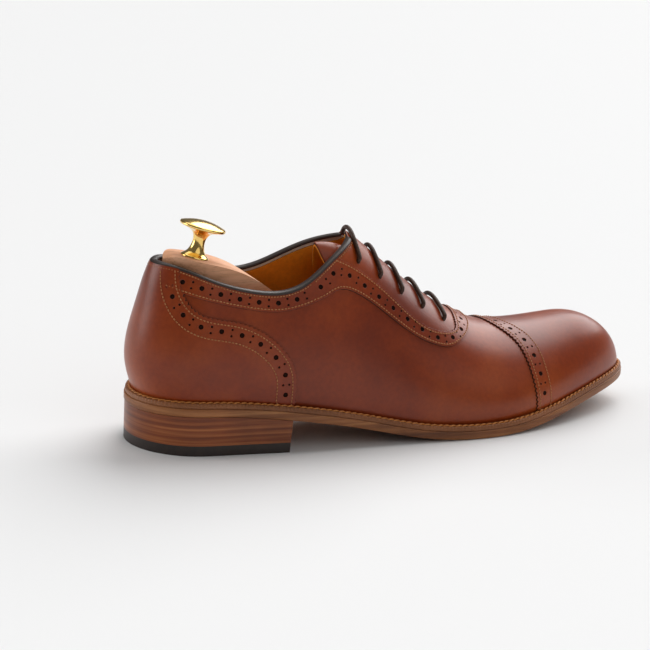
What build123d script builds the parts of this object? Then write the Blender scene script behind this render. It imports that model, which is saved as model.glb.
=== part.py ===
"""Right-foot leather oxford shoe with a cedar shoe tree, sized as EU 42.5."""
from build123d import *
import math
import os

os.makedirs("parts", exist_ok=True)

# ---- driving dimensions, mm. Stations run from the back of the heel to the toe ----
LENGTH = 304.0            # outsole, heel to toe
HEEL_ROUND = 35.5         # length of the rounded back of the heel
FEATHER_INSET = 4.5       # upper stands this far inside the sole edge
OUTSOLE_T = 4.5
WELT_T = 2.7
INSOLE_T = 2.8
SOCK_T = 1.0
TOP_LIFT_T = 5.5
LIFT_T = 3.9
BREAST_X = 77.0           # front of the heel
SEAM_X = 108.0            # vamp and quarters meet here
TIP_GAP = 0.03            # the skins stop this short of the toe point
SKIN_TOLERANCE = 0.02
FAR = 90.0                # cutting prisms reach this far to each side
HIGH = 200.0              # and this high
REAR_TOP = 0.93           # share of the crest height that the rear skins reach

# depths of the upper's layers, measured in from the outer surface
OVERLAY_D = 1.1
BODY_D = 2.3
STIFF_D = 3.1
LINING_D = 4.0
BINDING_H = 1.7           # height of the topline binding
PUFF_SETBACK = 4.0        # the toe puff starts this far in front of the cap's edge
SLOT_W = 7.0              # gap between the facings
SLOT_END = 179.0
SLOT_START = 98.0
BACK_SEAM_W = 0.02        # the two quarters meet here at the back
FACING_END = 188.0        # the facings part as far as this, under the lyre strap
HEEL_SETBACK = 0.4        # heel stack stands this far inside the sole edge
HEEL_TOP = 30.0           # the seat lift is cut from a slice as high as this
BREAST_FOOT, BREAST_HEAD = -0.4, 2.2   # the breast slopes between these, from BREAST_X
WELT_INSET = 0.6
FEATHER_GAP = 0.4         # insole to lining
SOCK_GAP = 1.2            # sock liner to lining
WELT_OVER_CORK = 0.3      # the welt's opening stands outside the cork by this
NAIL_PLACES = [(16, 1), (30, -18), (30, 18), (52, -18), (52, 15)]
NAIL_D = 1.8
NAIL_BASE = 2.5           # the nails' heads are sunk this far up in the top lift
SHANK_FROM, SHANK_TO, SHANK_W, SHANK_T = 64.0, 158.0, 15.0, 1.4
FILLER_INSET = FEATHER_INSET + 6.3   # the cork lies this far inside the sole edge
TONGUE_FROM, TONGUE_TO = 100.0, 206.0
TONGUE_SPREAD = 0.62      # share of the half width covered on each side
TONGUE_RISE = (184.0, 198.0)   # in front of the lacing the tongue comes up under the lining
TONGUE_GAP = 0.2
TONGUE_DIP_FROM, TONGUE_DIP, TONGUE_DIP_POWER = 130.0, 0.06, 1.5   # the free end curls inwards
TONGUE_TAB_W, TONGUE_TAB_R = 31.0, 11.0
TONGUE_D, TONGUE_T, TONGUE_LINING_T = 7.4, 1.2, 1.0
LACE_DEPTH = 4.9          # the lace runs this deep between two rows
LACE_LIFT = 0.5
LACE_TAILS = [(131, 0.60), (164, 0.60)]
CORNER_SHARE = 0.45       # each corner's arc takes this share of its shorter run

# shoe tree
TOE_FROM, TOE_TO = 158.0, 286.0
TOE_BASE = 4.4            # above the welt's upper face
TOE_PLANE_Y = 7.5         # the toe block is sawn in two along this plane
TOE_GAP = 6.0
TOE_SQUEEZE = 2.0         # travel of each half
TOE_DEPTH, TOE_DIP = 5.2, 6.3   # under the outer surface in front, and how much more at the back
TOE_SLOPE = (192.0, 232.0)
PIN_X = (178.0, 206.0)
PIN_D, PIN_LENGTH, PIN_PLAY, PIN_HEIGHT = 5.0, 24.0, 0.3, 18.0
STUD_R = 2.5
CORE_GAP = 0.5
ROD_D, TUBE_ID, TUBE_OD = 10.4, 10.8, 14.0
ROD_START, ROD_END = Vector(80, 1, 62), Vector(150, TOE_PLANE_Y, 36)
TUBE_GAP = 25.0           # the heel block's front face to the outer tube
ROD_REACH = 52.0
KNOB_FOOT, KNOB_TILT = Vector(34, 1, 98.5), 14.0
BLOCK_TOP = [(17, 99), (20, 101), (27, 100.5), (41, 97.5), (57, 92), (71, 83.5), (84, 74)]
BLOCK_BASE = [(84, 52), (60, 56), (36, 60), (17, 66)]
CENTRE_X = LENGTH / 2     # the part's origin in this frame
CENTRE_LINE = 3.15        # middle of the outsole's width

# B-spline controls, evenly spaced from heel to toe
CENTRE_Y = [4, 1, -2, -3, -1, 6, 13]
LATERAL_W = [34, 34, 38, 36, 41, 46, 43, 43]
MEDIAL_W = [34, 34, 31, 28, 36, 47, 47, 47]
LATERAL_TOE = (133, 1.8, 1.9)   # length of the rounded toe, power and root of its curve
MEDIAL_TOE = (88, 2.2, 1.95)
SOLE_RISE = [21, 22, 20, 16, 10, 2, 0, 0.5, 5.5, 12, 15]   # above an even datum; the tread is at 0
RIDGE_Y = [0, 0, 0, 0, 3, 6, 9, 12, 14]
CREST_H = [88, 92, 98, 104, 99, 83, 66, 49.5, 42, 37.5, 34.5, 28]
ARCH_POWER = [1.8, 1.8, 1.9, 2.0, 2.0, 2.0, 2.0, 2.0, 2.2, 2.4, 2.6, 2.6]
ARCH_ROOT = [0.5, 0.5, 0.5, 0.5, 0.52, 0.55, 0.55, 0.5, 0.45, 0.43, 0.43, 0.42]
BULGE = [2.5, 2.5, 2, 1, 1, 1.5, 2, 2, 2]
BACK_LEAN = [0, -4.5, -4.5, -1.5, 2, 5, 10.5, 20, 32]
LEAN_FADE, LEAN_HEIGHT, LEAN_POWER = 75.0, 100.0, 1.6
BULGE_SCALE = 9.48        # brings the peak of v (1 - v)^3 to 1
TOE_CLOSE, TOE_CLOSE_POWER, TOE_CLOSE_ROOT = 42.0, 2.4, 1.9

# side-view lines (station, height)
TOPLINE_LATERAL = [(2, 95.5), (16, 98), (36, 92), (61, 85.5), (72, 85), (83, 87.5), (101, 98.5), (122, 110)]
TOPLINE_MEDIAL = [(2, 95.5), (16, 98), (36, 92), (61, 87), (72, 88.5), (83, 93), (101, 102), (122, 108)]
STRAP_EDGE = [(10, 88), (35, 81), (62, 75.5), (72, 75), (82, 76.5), (94, 80), (114, 89)]
COUNTER_EDGE = [(21.5, 104), (21, 88), (26, 77), (48, 70), (69, 59), (79, 44), (80, 36), (80, 20)]
STIFFENER_EDGE = [(-8, 84), (12, 80), (30, 73), (50, 64), (64, 53), (72, 40), (74, 20)]

# arch-position lines (station, share of the crest height)
LYRE_OUTER = [(100, .69), (129, .66), (154, .62), (166, .635), (177, .71), (187, .85), (192, .94)]
LYRE_INNER = [(100, .8), (136, .79), (160, .73), (173, .78), (181, .885)]
LYRE_OUTER_END = 194.0
LYRE_INNER_END = 184.5
LYRE_MIDDLE = [(100, .75), (126, .73), (151, .695), (163, .685), (175, .745), (184, .87)]
CAP_EDGE = [(208, -60), (225, -35), (218, -14), (209, 2), (205, 15), (203, 30), (203, 60)]
EYELET_START, EYELET_PITCH = 120.0, 13.4
EYELET_SHARE, EYELET_CLIMB = 0.86, 0.004
EYELETS = [(EYELET_START + i * EYELET_PITCH, EYELET_SHARE + i * EYELET_CLIMB) for i in range(5)]
EYELET_D = 3.4
LACE_D = 2.4


# ---- shape of the last ----
def b_spline(values, t):
    """Uniform cubic B-spline that starts and ends on its end values."""
    ends = [2 * values[0] - values[1]] + list(values) + [2 * values[-1] - values[-2]]
    spans = len(ends) - 3
    place = min(max(t, 0.0), 1.0) * spans
    i = min(int(place), spans - 1)
    f = place - i
    weights = ((1 - f) ** 3, 3 * f ** 3 - 6 * f ** 2 + 4, -3 * f ** 3 + 3 * f ** 2 + 3 * f + 1, f ** 3)
    return sum(w * ends[i + k] for k, w in enumerate(weights)) / 6


def half_width(x, side, inset):
    """Distance from the centre line to the plan outline, set in by inset."""
    widths, (toe, power, root) = (LATERAL_W, LATERAL_TOE) if side < 0 else (MEDIAL_W, MEDIAL_TOE)
    back = min(max((HEEL_ROUND - x) / (HEEL_ROUND - inset), 0.0), 1.0)
    front = min(max((x - LENGTH + toe) / (toe - inset), 0.0), 1.0)
    closing = math.sqrt(1 - back ** 2) * (1 - front ** power) ** (1 / root)
    return (b_spline(widths, x / LENGTH) - inset) * closing


TREAD = min(b_spline(SOLE_RISE, i / 400) for i in range(401))


def sole_z(x):
    """Height of the outsole's underside, 0 where the tread stands on the floor."""
    return b_spline(SOLE_RISE, x / LENGTH) - TREAD


def feather_z(x):
    """Height of the welt's upper face, where the upper starts."""
    return sole_z(x) + OUTSOLE_T + WELT_T


def arch(x, depth):
    """Ridge, outline and crest height of the last at one station, depth mm inside the outer surface."""
    t = x / LENGTH
    inset = FEATHER_INSET + depth
    centre = b_spline(CENTRE_Y, t)
    low = centre - half_width(x, -1, inset)
    high = centre + half_width(x, 1, inset)
    full = b_spline(LATERAL_W, t) + b_spline(MEDIAL_W, t) - 2 * FEATHER_INSET
    round_off = math.sqrt(max(high - low, 0.0) / full)
    ridge = centre + (b_spline(RIDGE_Y, t) - centre) * round_off
    rise = min(max((LENGTH - inset - x) / TOE_CLOSE, 0.0), 1.0)
    crest = (b_spline(CREST_H, t) - depth) * (1 - (1 - rise) ** TOE_CLOSE_POWER) ** (1 / TOE_CLOSE_ROOT)
    return ridge, low, high, crest, b_spline(BULGE, t) * round_off


def last_point(x, v, side, depth=0.0):
    """Point on the last at station x, v of the way up the arch (0 feather, 1 ridge)."""
    ridge, low, high, crest, bulge = arch(x, depth)
    reach = (high - ridge) if side > 0 else (ridge - low)
    spread = max(1 - v ** b_spline(ARCH_POWER, x / LENGTH), 0.0) ** b_spline(ARCH_ROOT, x / LENGTH)
    y = ridge + side * (reach * spread + bulge * BULGE_SCALE * v * (1 - v) ** 3)
    height = crest * v
    lean = b_spline(BACK_LEAN, height / LEAN_HEIGHT) * max(1 - x / LEAN_FADE, 0.0) ** LEAN_POWER
    return Vector(x + lean, y, feather_z(x) + height)


def arch_share(x, spread):
    """Height share v of the place that is spread of the half width from the ridge."""
    power = b_spline(ARCH_POWER, x / LENGTH)
    root = b_spline(ARCH_ROOT, x / LENGTH)
    return max(1 - spread ** (1 / root), 0.0) ** (1 / power)


def front_point(u, w, depth):
    """Point of the front skin: u from the seam to the toe, w from lateral to medial."""
    end = LENGTH - FEATHER_INSET - depth - TIP_GAP
    x = SEAM_X + (end - SEAM_X) * math.sin(u * math.pi / 2)
    return last_point(x, arch_share(x, math.sin(abs(w) * math.pi / 2)), 1 if w > 0 else -1, depth)


def rear_point(u, w, depth):
    """Point of the rear skin: u from lateral round the heel to medial, w up from the feather."""
    start = FEATHER_INSET + depth
    x = start + (SEAM_X - start) * (1 - math.cos(u * math.pi / 2))
    return last_point(x, w, 1 if u > 0 else -1, depth)


def slab(outer, inner):
    """Closed solid between two grids of points of the same size."""
    faces, corners = [], []
    for grid in (outer, inner):
        faces.append(Face.make_surface_from_array_of_points(grid, tol=SKIN_TOLERANCE, min_deg=3, max_deg=3))
        corners.append([[grid[0][0], grid[-1][0]], [grid[0][-1], grid[-1][-1]],
                        [grid[0][0], grid[0][-1]], [grid[-1][0], grid[-1][-1]]])
    walls = []
    for near, far in zip(corners[0], corners[1]):
        pair = []
        for face, ends in zip(faces, (near, far)):
            pair.append(min(face.edges(), key=lambda e: min(
                (e @ 0 - ends[0]).length + (e @ 1 - ends[1]).length,
                (e @ 0 - ends[1]).length + (e @ 1 - ends[0]).length)))
        walls.append(Face.make_surface_from_curves(pair[0], pair[1]))
    return Solid(Shell(faces + walls))


def front_slab(outer_depth, inner_depth, rows=33, columns=29):
    """Layer of the upper from the seam to the toe, over the ridge."""
    grids = []
    for depth in (outer_depth, inner_depth):
        grids.append([[front_point(i / (rows - 1), 2 * j / (columns - 1) - 1, depth)
                       for j in range(columns)] for i in range(rows)])
    return slab(*grids)


def rear_slab(outer_depth, inner_depth, rows=41, columns=17):
    """Layer of the upper round the heel, open above."""
    grids = []
    for depth in (outer_depth, inner_depth):
        grids.append([[rear_point(2 * i / (rows - 1) - 1, REAR_TOP * j / (columns - 1), depth)
                       for j in range(columns)] for i in range(rows)])
    return slab(*grids)


# ---- cutting prisms ----
def side_prism(line, corners, low_y=-FAR, high_y=FAR):
    """Prism across the shoe between a smooth side-view line and straight runs through the corners."""
    with BuildPart(mode=Mode.PRIVATE) as prism:
        with BuildSketch(Plane.XZ.offset(-high_y)):
            with BuildLine():
                Spline(*line)
                Polyline(line[-1], *corners, line[0])
            make_face()
        extrude(amount=high_y - low_y)
    return prism.part


def dropped(line, drop):
    """The same side-view line, drop mm lower."""
    return [(x, z - drop) for x, z in line]


def mouth(drop=0.0):
    """Everything above the topline, or above a line drop mm under it."""
    corners = [(TOPLINE_LATERAL[-1][0], HIGH), (TOPLINE_LATERAL[0][0], HIGH)]
    lateral = side_prism(dropped(TOPLINE_LATERAL, drop), corners, high_y=0)
    medial = side_prism(dropped(TOPLINE_MEDIAL, drop), corners, low_y=0)
    return lateral + medial


def lyre_region(shares, end):
    """Upright prism inside the U-shaped line round the lace opening."""
    lateral = [last_point(x, v, -1) for x, v in shares]
    medial = [last_point(x, v, 1) for x, v in reversed(shares)]
    points = [(p.X, p.Y) for p in lateral + [last_point(end, 1.0, 1)] + medial]
    with BuildPart(mode=Mode.PRIVATE) as prism:
        with BuildSketch():
            with BuildLine():
                Spline(*points)
                Line(points[-1], points[0])
            make_face()
        extrude(amount=HIGH)
    return prism.part


def cap_region(shift=0.0):
    """Upright prism of everything in front of the cap's rear edge."""
    points = [(x + shift, y) for x, y in CAP_EDGE]
    with BuildPart(mode=Mode.PRIVATE) as prism:
        with BuildSketch():
            with BuildLine():
                Spline(*points)
                Polyline(points[-1], (LENGTH + 20, points[-1][1]), (LENGTH + 20, points[0][1]), points[0])
            make_face()
        extrude(amount=HIGH)
    return prism.part


def lace_slot(end):
    """Upright prism of the gap between the two facings."""
    near = [last_point(SLOT_START + (end - SLOT_START) * i / 6, 1.0, 1) for i in range(7)]
    with BuildPart(mode=Mode.PRIVATE) as prism:
        with BuildSketch():
            with BuildLine():
                Spline(*[(p.X, p.Y - SLOT_W / 2) for p in near])
                Spline(*[(p.X, p.Y + SLOT_W / 2) for p in near])
                Line((near[0].X, near[0].Y - SLOT_W / 2), (near[0].X, near[0].Y + SLOT_W / 2))
                ThreePointArc((near[-1].X, near[-1].Y - SLOT_W / 2), (near[-1].X + SLOT_W / 2, near[-1].Y),
                              (near[-1].X, near[-1].Y + SLOT_W / 2))
            make_face()
        extrude(amount=HIGH)
    return prism.part


def eyelet_axis(x, v, side):
    """Plane on the facing at an eyelet, its Z pointing straight out of the leather."""
    here = last_point(x, v, side)
    along = last_point(x + 1, v, side) - last_point(x - 1, v, side)
    across = last_point(x, v + 0.02, side) - last_point(x, v - 0.02, side)
    out = along.cross(across) if side > 0 else across.cross(along)
    return Plane(here, x_dir=along, z_dir=out if out.Z > 0 else -out)


def eyelet_holes():
    """Drills through every layer of both facings, one for each eyelet."""
    with BuildPart(mode=Mode.PRIVATE) as drills:
        for side in (-1, 1):
            for x, v in EYELETS:
                with Locations(eyelet_axis(x, v, side).location):
                    Cylinder(EYELET_D / 2, 14)
    return drills.part


# ---- bottom pieces ----
def plan_points(inset, count=44):
    """Points round the plan outline, close together at the heel and the toe."""
    lateral, medial = [], []
    for i in range(1, count // 2):
        x = inset + (LENGTH - 2 * inset) * (1 - math.cos(math.pi * i / (count // 2))) / 2
        centre = b_spline(CENTRE_Y, x / LENGTH)
        lateral.append((x, centre - half_width(x, -1, inset)))
        medial.append((x, centre + half_width(x, 1, inset)))
    back = (inset, b_spline(CENTRE_Y, inset / LENGTH))
    toe = (LENGTH - inset, b_spline(CENTRE_Y, 1 - inset / LENGTH))
    return [back] + lateral + [toe] + medial[::-1]


def sole_layer(inset, low, high, hole=None):
    """Curved layer of the sole inside the outline, low to high mm above the outsole's underside."""
    stations = [-10 + (LENGTH + 20) * i / 16 for i in range(17)]
    lower = [(x, sole_z(x) + low) for x in stations]
    upper = [(x, sole_z(x) + high) for x in stations]
    with BuildPart(mode=Mode.PRIVATE) as layer:
        with BuildSketch(Plane.XY.offset(-10)):
            with BuildLine():
                Spline(*plan_points(inset), periodic=True)
            make_face()
        extrude(amount=70)
        with BuildSketch(Plane.XZ.offset(-FAR)):
            with BuildLine():
                Spline(*lower)
                Spline(*upper)
                Line(lower[0], upper[0])
                Line(lower[-1], upper[-1])
            make_face()
        extrude(amount=2 * FAR, mode=Mode.INTERSECT)
        if hole is not None:
            with BuildSketch():
                with BuildLine():
                    Spline(*plan_points(hole), periodic=True)
                make_face()
            extrude(amount=60, mode=Mode.SUBTRACT)
    return layer.part


def heel_slice(low, high):
    """Level slice of the heel stack, cut off by the sloped breast."""
    with BuildPart(mode=Mode.PRIVATE) as piece:
        with BuildSketch(Plane.XY.offset(low)):
            with BuildLine():
                Spline(*plan_points(HEEL_SETBACK), periodic=True)
            make_face()
        extrude(amount=high - low)
        with BuildSketch(Plane.XZ.offset(-FAR)):
            Polygon((-10, -5), (BREAST_X + BREAST_FOOT, -5), (BREAST_X + BREAST_HEAD, HEEL_TOP + 2),
                    (-10, HEEL_TOP + 2), align=None)
        extrude(amount=2 * FAR, mode=Mode.INTERSECT)
    return piece.part


def heel_nails_at(low, high, diameter):
    """Nails, or the holes for them, between two heights."""
    with BuildPart(mode=Mode.PRIVATE) as nails:
        with Locations(*[(x, y, low) for x, y in NAIL_PLACES]):
            Cylinder(diameter / 2, high - low, align=(Align.CENTER, Align.CENTER, Align.MIN))
    return nails.part


def save(piece, name):
    """Move one piece to the part's frame, name it and write it."""
    piece = piece.moved(Location((-CENTRE_X, -CENTRE_LINE, 0)))
    piece.label = name
    export_step(piece, f"parts/{name}.step")
    box = piece.bounding_box()
    print(f"{name:24s} solids {len(piece.solids())} valid {piece.is_valid} volume {piece.volume:9.1f}")
    print(f"{'':24s} x {box.min.X:7.1f} {box.max.X:7.1f} y {box.min.Y:6.1f} {box.max.Y:6.1f} "
          f"z {box.min.Z:6.1f} {box.max.Z:6.1f}")


# ---- bottom ----
WELT_TOP = OUTSOLE_T + WELT_T
INSOLE_TOP = WELT_TOP + INSOLE_T
LIFTS_TOP = TOP_LIFT_T + 3 * LIFT_T

with BuildPart() as outsole:
    add(sole_layer(0, 0, OUTSOLE_T))

with BuildPart() as welt:
    add(sole_layer(WELT_INSET, OUTSOLE_T, WELT_TOP, hole=FILLER_INSET - WELT_OVER_CORK))

with BuildPart() as shank:
    add(sole_layer(FILLER_INSET, WELT_TOP - SHANK_T, WELT_TOP))
    with Locations(((SHANK_FROM + SHANK_TO) / 2, b_spline(CENTRE_Y, 0.37), 20)):
        Box(SHANK_TO - SHANK_FROM, SHANK_W, 60, mode=Mode.INTERSECT)

with BuildPart() as cork_filler:
    add(sole_layer(FILLER_INSET, OUTSOLE_T, WELT_TOP - SHANK_T))

with BuildPart() as insole:
    add(sole_layer(FEATHER_INSET + LINING_D + FEATHER_GAP, WELT_TOP, INSOLE_TOP))

with BuildPart() as sock_liner:
    add(sole_layer(FEATHER_INSET + LINING_D + SOCK_GAP, INSOLE_TOP, INSOLE_TOP + SOCK_T))

nail_holes = heel_nails_at(NAIL_BASE, 40, NAIL_D)

with BuildPart() as heel_top_lift:
    add(heel_slice(0, TOP_LIFT_T))
    add(nail_holes, mode=Mode.SUBTRACT)

heel_lifts = []
for i in range(3):
    with BuildPart() as heel_lift:
        add(heel_slice(TOP_LIFT_T + i * LIFT_T, TOP_LIFT_T + (i + 1) * LIFT_T))
        add(nail_holes, mode=Mode.SUBTRACT)
    heel_lifts.append(heel_lift)

with BuildPart() as heel_seat_lift:
    add(heel_slice(LIFTS_TOP, HEEL_TOP))
    add(sole_layer(-3, 0, 20), mode=Mode.SUBTRACT)
    add(nail_holes, mode=Mode.SUBTRACT)

with BuildPart() as heel_nails:
    add(heel_nails_at(NAIL_BASE, LIFTS_TOP + 2, NAIL_D))

# ---- upper ----
opening = mouth(BINDING_H)
counter_area = side_prism(COUNTER_EDGE, [(-40, COUNTER_EDGE[-1][1]), (-40, COUNTER_EDGE[0][1])])
strap_area = side_prism(STRAP_EDGE, [(STRAP_EDGE[-1][0], HIGH), (STRAP_EDGE[0][0], HIGH)]) - counter_area
stiffener_area = side_prism(STIFFENER_EDGE, [(-40, STIFFENER_EDGE[-1][1]), (-40, STIFFENER_EDGE[0][1])])
lyre_outer = lyre_region(LYRE_OUTER, LYRE_OUTER_END)
lyre_inner = lyre_region(LYRE_INNER, LYRE_INNER_END)
lyre_middle = lyre_region(LYRE_MIDDLE, (LYRE_OUTER_END + LYRE_INNER_END) / 2)
slot = lace_slot(SLOT_END)
drills = eyelet_holes()

rear_overlay = rear_slab(0, OVERLAY_D)
rear_body = rear_slab(OVERLAY_D, BODY_D)
rear_stiff = rear_slab(BODY_D, STIFF_D)
front_overlay = front_slab(0, OVERLAY_D)
front_body = front_slab(OVERLAY_D, BODY_D)
front_stiff = front_slab(BODY_D, STIFF_D)

with BuildPart() as counter:
    add(rear_overlay)
    add(counter_area, mode=Mode.INTERSECT)
    add(opening, mode=Mode.SUBTRACT)

with BuildPart() as topline_straps:
    add(rear_overlay)
    add(strap_area, mode=Mode.INTERSECT)
    add(opening, mode=Mode.SUBTRACT)

with BuildPart() as quarters:
    add(rear_body)
    add(opening, mode=Mode.SUBTRACT)
    with Locations((30, b_spline(CENTRE_Y, 0.02), 60)):
        Box(100, BACK_SEAM_W, 120, mode=Mode.SUBTRACT)

with BuildPart() as heel_counter:
    add(rear_stiff)
    add(stiffener_area, mode=Mode.INTERSECT)

with BuildPart() as quarter_backing:
    add(rear_stiff)
    add(stiffener_area, mode=Mode.SUBTRACT)
    add(opening, mode=Mode.SUBTRACT)

with BuildPart() as quarter_lining:
    add(rear_slab(STIFF_D, LINING_D))
    add(opening, mode=Mode.SUBTRACT)

with BuildPart() as topline_binding:
    add(rear_slab(0, LINING_D))
    add(opening, mode=Mode.INTERSECT)
    add(mouth(), mode=Mode.SUBTRACT)

with BuildPart() as toe_cap:
    add(front_overlay)
    add(cap_region(), mode=Mode.INTERSECT)

with BuildPart() as lyre_strap:
    add(front_overlay)
    add(lyre_outer, mode=Mode.INTERSECT)
    add(lyre_inner, mode=Mode.SUBTRACT)
    add(opening, mode=Mode.SUBTRACT)

with BuildPart() as vamp:
    add(front_body)
    add(lyre_middle, mode=Mode.SUBTRACT)

with BuildPart() as facings:
    add(front_body)
    add(lyre_middle, mode=Mode.INTERSECT)
    add(lace_slot(FACING_END), mode=Mode.SUBTRACT)
    add(opening, mode=Mode.SUBTRACT)
    add(drills, mode=Mode.SUBTRACT)

with BuildPart() as toe_puff:
    add(front_stiff)
    add(cap_region(PUFF_SETBACK), mode=Mode.INTERSECT)

with BuildPart() as vamp_backing:
    add(front_stiff)
    add(cap_region(PUFF_SETBACK), mode=Mode.SUBTRACT)
    add(slot, mode=Mode.SUBTRACT)
    add(opening, mode=Mode.SUBTRACT)
    add(drills, mode=Mode.SUBTRACT)

with BuildPart() as vamp_lining:
    add(front_slab(STIFF_D, LINING_D))
    add(slot, mode=Mode.SUBTRACT)
    add(opening, mode=Mode.SUBTRACT)
    add(drills, mode=Mode.SUBTRACT)

# ---- tongue and lace ----
def tongue_grid(depth, rows=21, columns=15):
    """Grid of the tongue, which dips away from the last above the lacing and meets the lining in front."""
    grid = []
    for i in range(rows):
        x = TONGUE_FROM + (TONGUE_TO - TONGUE_FROM) * i / (rows - 1)
        dip = TONGUE_DIP * max(TONGUE_DIP_FROM - x, 0) ** TONGUE_DIP_POWER
        share = min(max((x - TONGUE_RISE[0]) / (TONGUE_RISE[1] - TONGUE_RISE[0]), 0), 1)
        rise = share ** 2 * (TONGUE_D - LINING_D - TONGUE_GAP)
        row = []
        for j in range(columns):
            w = 2 * j / (columns - 1) - 1
            spread = TONGUE_SPREAD * math.sin(abs(w) * math.pi / 2)
            row.append(last_point(x, arch_share(x, spread), 1 if w > 0 else -1, depth + dip - rise))
        grid.append(row)
    return grid


def rounded_top():
    """Upright prism that rounds the tongue's free end."""
    with BuildPart(mode=Mode.PRIVATE) as prism:
        with BuildSketch(Plane.XY):
            with Locations((TONGUE_FROM + 60, 1.5)):
                RectangleRounded(120, TONGUE_TAB_W, TONGUE_TAB_R)
            with Locations((TONGUE_TO - 30, 4)):
                Rectangle(80, 60)
        extrude(amount=HIGH)
    return prism.part


tongue_depths = (TONGUE_D, TONGUE_D + TONGUE_T, TONGUE_D + TONGUE_T + TONGUE_LINING_T)
tongue_top = rounded_top()

with BuildPart() as tongue:
    add(slab(tongue_grid(tongue_depths[0]), tongue_grid(tongue_depths[1])))
    add(tongue_top, mode=Mode.INTERSECT)

with BuildPart() as tongue_lining:
    add(slab(tongue_grid(tongue_depths[1]), tongue_grid(tongue_depths[2])))
    add(tongue_top, mode=Mode.INTERSECT)


def lace_route():
    """Points of the lace: over each row, down an eyelet, forward underneath, up the next."""
    points = [last_point(LACE_TAILS[0][0], LACE_TAILS[0][1], -1, LACE_DEPTH)]
    for row, (x, v) in enumerate(EYELETS):
        sides = (-1, 1) if row % 2 == 0 else (1, -1)
        for side, order in zip(sides, (1, -1)):
            plane = eyelet_axis(x, v, side)
            bar = [plane.origin - plane.z_dir * LACE_DEPTH, plane.origin + plane.z_dir * LACE_LIFT,
                   last_point(x, arch_share(x, 0.2), side, -2 * LACE_LIFT)]
            points += bar[::order]
    points.append(last_point(LACE_TAILS[1][0], LACE_TAILS[1][1], 1, LACE_DEPTH))
    return points


def corner_radii(points):
    """Arc for each corner, a share of the shorter run over the tangent of half the turn."""
    radii = []
    for before, here, after in zip(points, points[1:], points[2:]):
        run = min((here - before).length, (after - here).length)
        turn = math.radians((here - before).get_angle(after - here))
        radii.append(CORNER_SHARE * run / math.tan(turn / 2))
    return radii


route = lace_route()
radii = corner_radii(route)
print("lace radii", [round(r, 1) for r in radii])

with BuildPart() as lace:
    with BuildLine() as lace_path:
        FilletPolyline(*route, radius=radii)
    with BuildSketch(Plane(lace_path.line @ 0, z_dir=lace_path.line % 0)):
        Circle(LACE_D / 2)
    sweep(path=lace_path.line)
lace_length = sum(edge.length for edge in lace_path.edges())
print("lace length", round(lace_length, 1), "volume over section times length",
      round(lace.part.volume / (lace_length * math.pi * LACE_D ** 2 / 4), 3))

# ---- shoe tree ----
axis_dir = (ROD_END - ROD_START).normalized()
axis_length = (ROD_END - ROD_START).length
rod_plane = Plane(ROD_START, z_dir=axis_dir)
core_face_x = TOE_FROM - CORE_GAP


def toe_depth(x):
    """The tree's toe keeps this far inside the outer surface, deeper under the tongue."""
    share = min(max((TOE_SLOPE[1] - x) / (TOE_SLOPE[1] - TOE_SLOPE[0]), 0), 1)
    return TOE_DEPTH + TOE_DIP * share


with BuildPart() as toe_form:
    for i in range(11):
        x = TOE_FROM + (TOE_TO - TOE_FROM) * math.sin(i / 10 * math.pi / 2)
        crest = arch(x, toe_depth(x))[3]
        low = TOE_BASE / crest
        shares = [low + (1 - low) * math.sin(k / 10 * math.pi / 2) for k in range(11)]
        half_a = [last_point(x, v, -1, toe_depth(x)) for v in shares]
        half_b = [last_point(x, v, 1, toe_depth(x)) for v in shares[-2::-1]]
        with BuildSketch(Plane.YZ.offset(x)):
            with BuildLine():
                Spline(*[(p.Y, p.Z) for p in half_a + half_b])
                Line((half_b[-1].Y, half_b[-1].Z), (half_a[0].Y, half_a[0].Z))
            make_face()
    loft()

pin_spots = [(x, TOE_PLANE_Y, feather_z(x) + PIN_HEIGHT) for x in PIN_X]
tree_halves = {}
for side, half_name in ((-1, "lateral"), (1, "medial")):
    with BuildPart() as tree_half:
        add(toe_form.part)
        with Locations((220, TOE_PLANE_Y + side * (50 + TOE_GAP / 2), 50)):
            Box(200, 100, 200, mode=Mode.INTERSECT)
        with Locations(*[Location(spot, (90, 0, 0)) for spot in pin_spots]):
            Cylinder(PIN_D / 2 + PIN_PLAY, PIN_LENGTH + 2 * TOE_SQUEEZE + 1, mode=Mode.SUBTRACT)
    tree_halves[half_name] = tree_half

with BuildPart() as tree_pins:
    with Locations(*[Location(spot, (90, 0, 0)) for spot in pin_spots]):
        Cylinder(PIN_D / 2, PIN_LENGTH)

with BuildPart() as tree_core:
    with Locations((core_face_x - 5, TOE_PLANE_Y, 35)):
        Box(10, 22, 34)
    fillet(tree_core.edges().filter_by(Axis.X), 5)
    with Locations(((core_face_x + PIN_X[1] + 8) / 2, TOE_PLANE_Y, 26)):
        Box(PIN_X[1] + 8 - core_face_x, 1.6, 16)
    add(tree_pins.part, mode=Mode.SUBTRACT)

with BuildPart() as tree_tube:
    with BuildSketch(rod_plane.offset(TUBE_GAP)):
        Circle(TUBE_OD / 2)
        Circle(TUBE_ID / 2, mode=Mode.SUBTRACT)
    extrude(amount=axis_length)
    split(bisect_by=Plane.YZ.offset(core_face_x - 10), keep=Keep.BOTTOM)

with BuildPart() as tree_rod:
    with BuildSketch(rod_plane.offset(-14)):
        Circle(ROD_D / 2)
    extrude(amount=ROD_REACH + 14)

tilt = math.radians(KNOB_TILT)
knob_plane = Plane(KNOB_FOOT, z_dir=Vector(math.sin(tilt), 0, math.cos(tilt)))

with BuildPart() as knob_stud:
    with BuildSketch(knob_plane.offset(-12)):
        Circle(STUD_R)
    extrude(amount=16)

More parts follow.
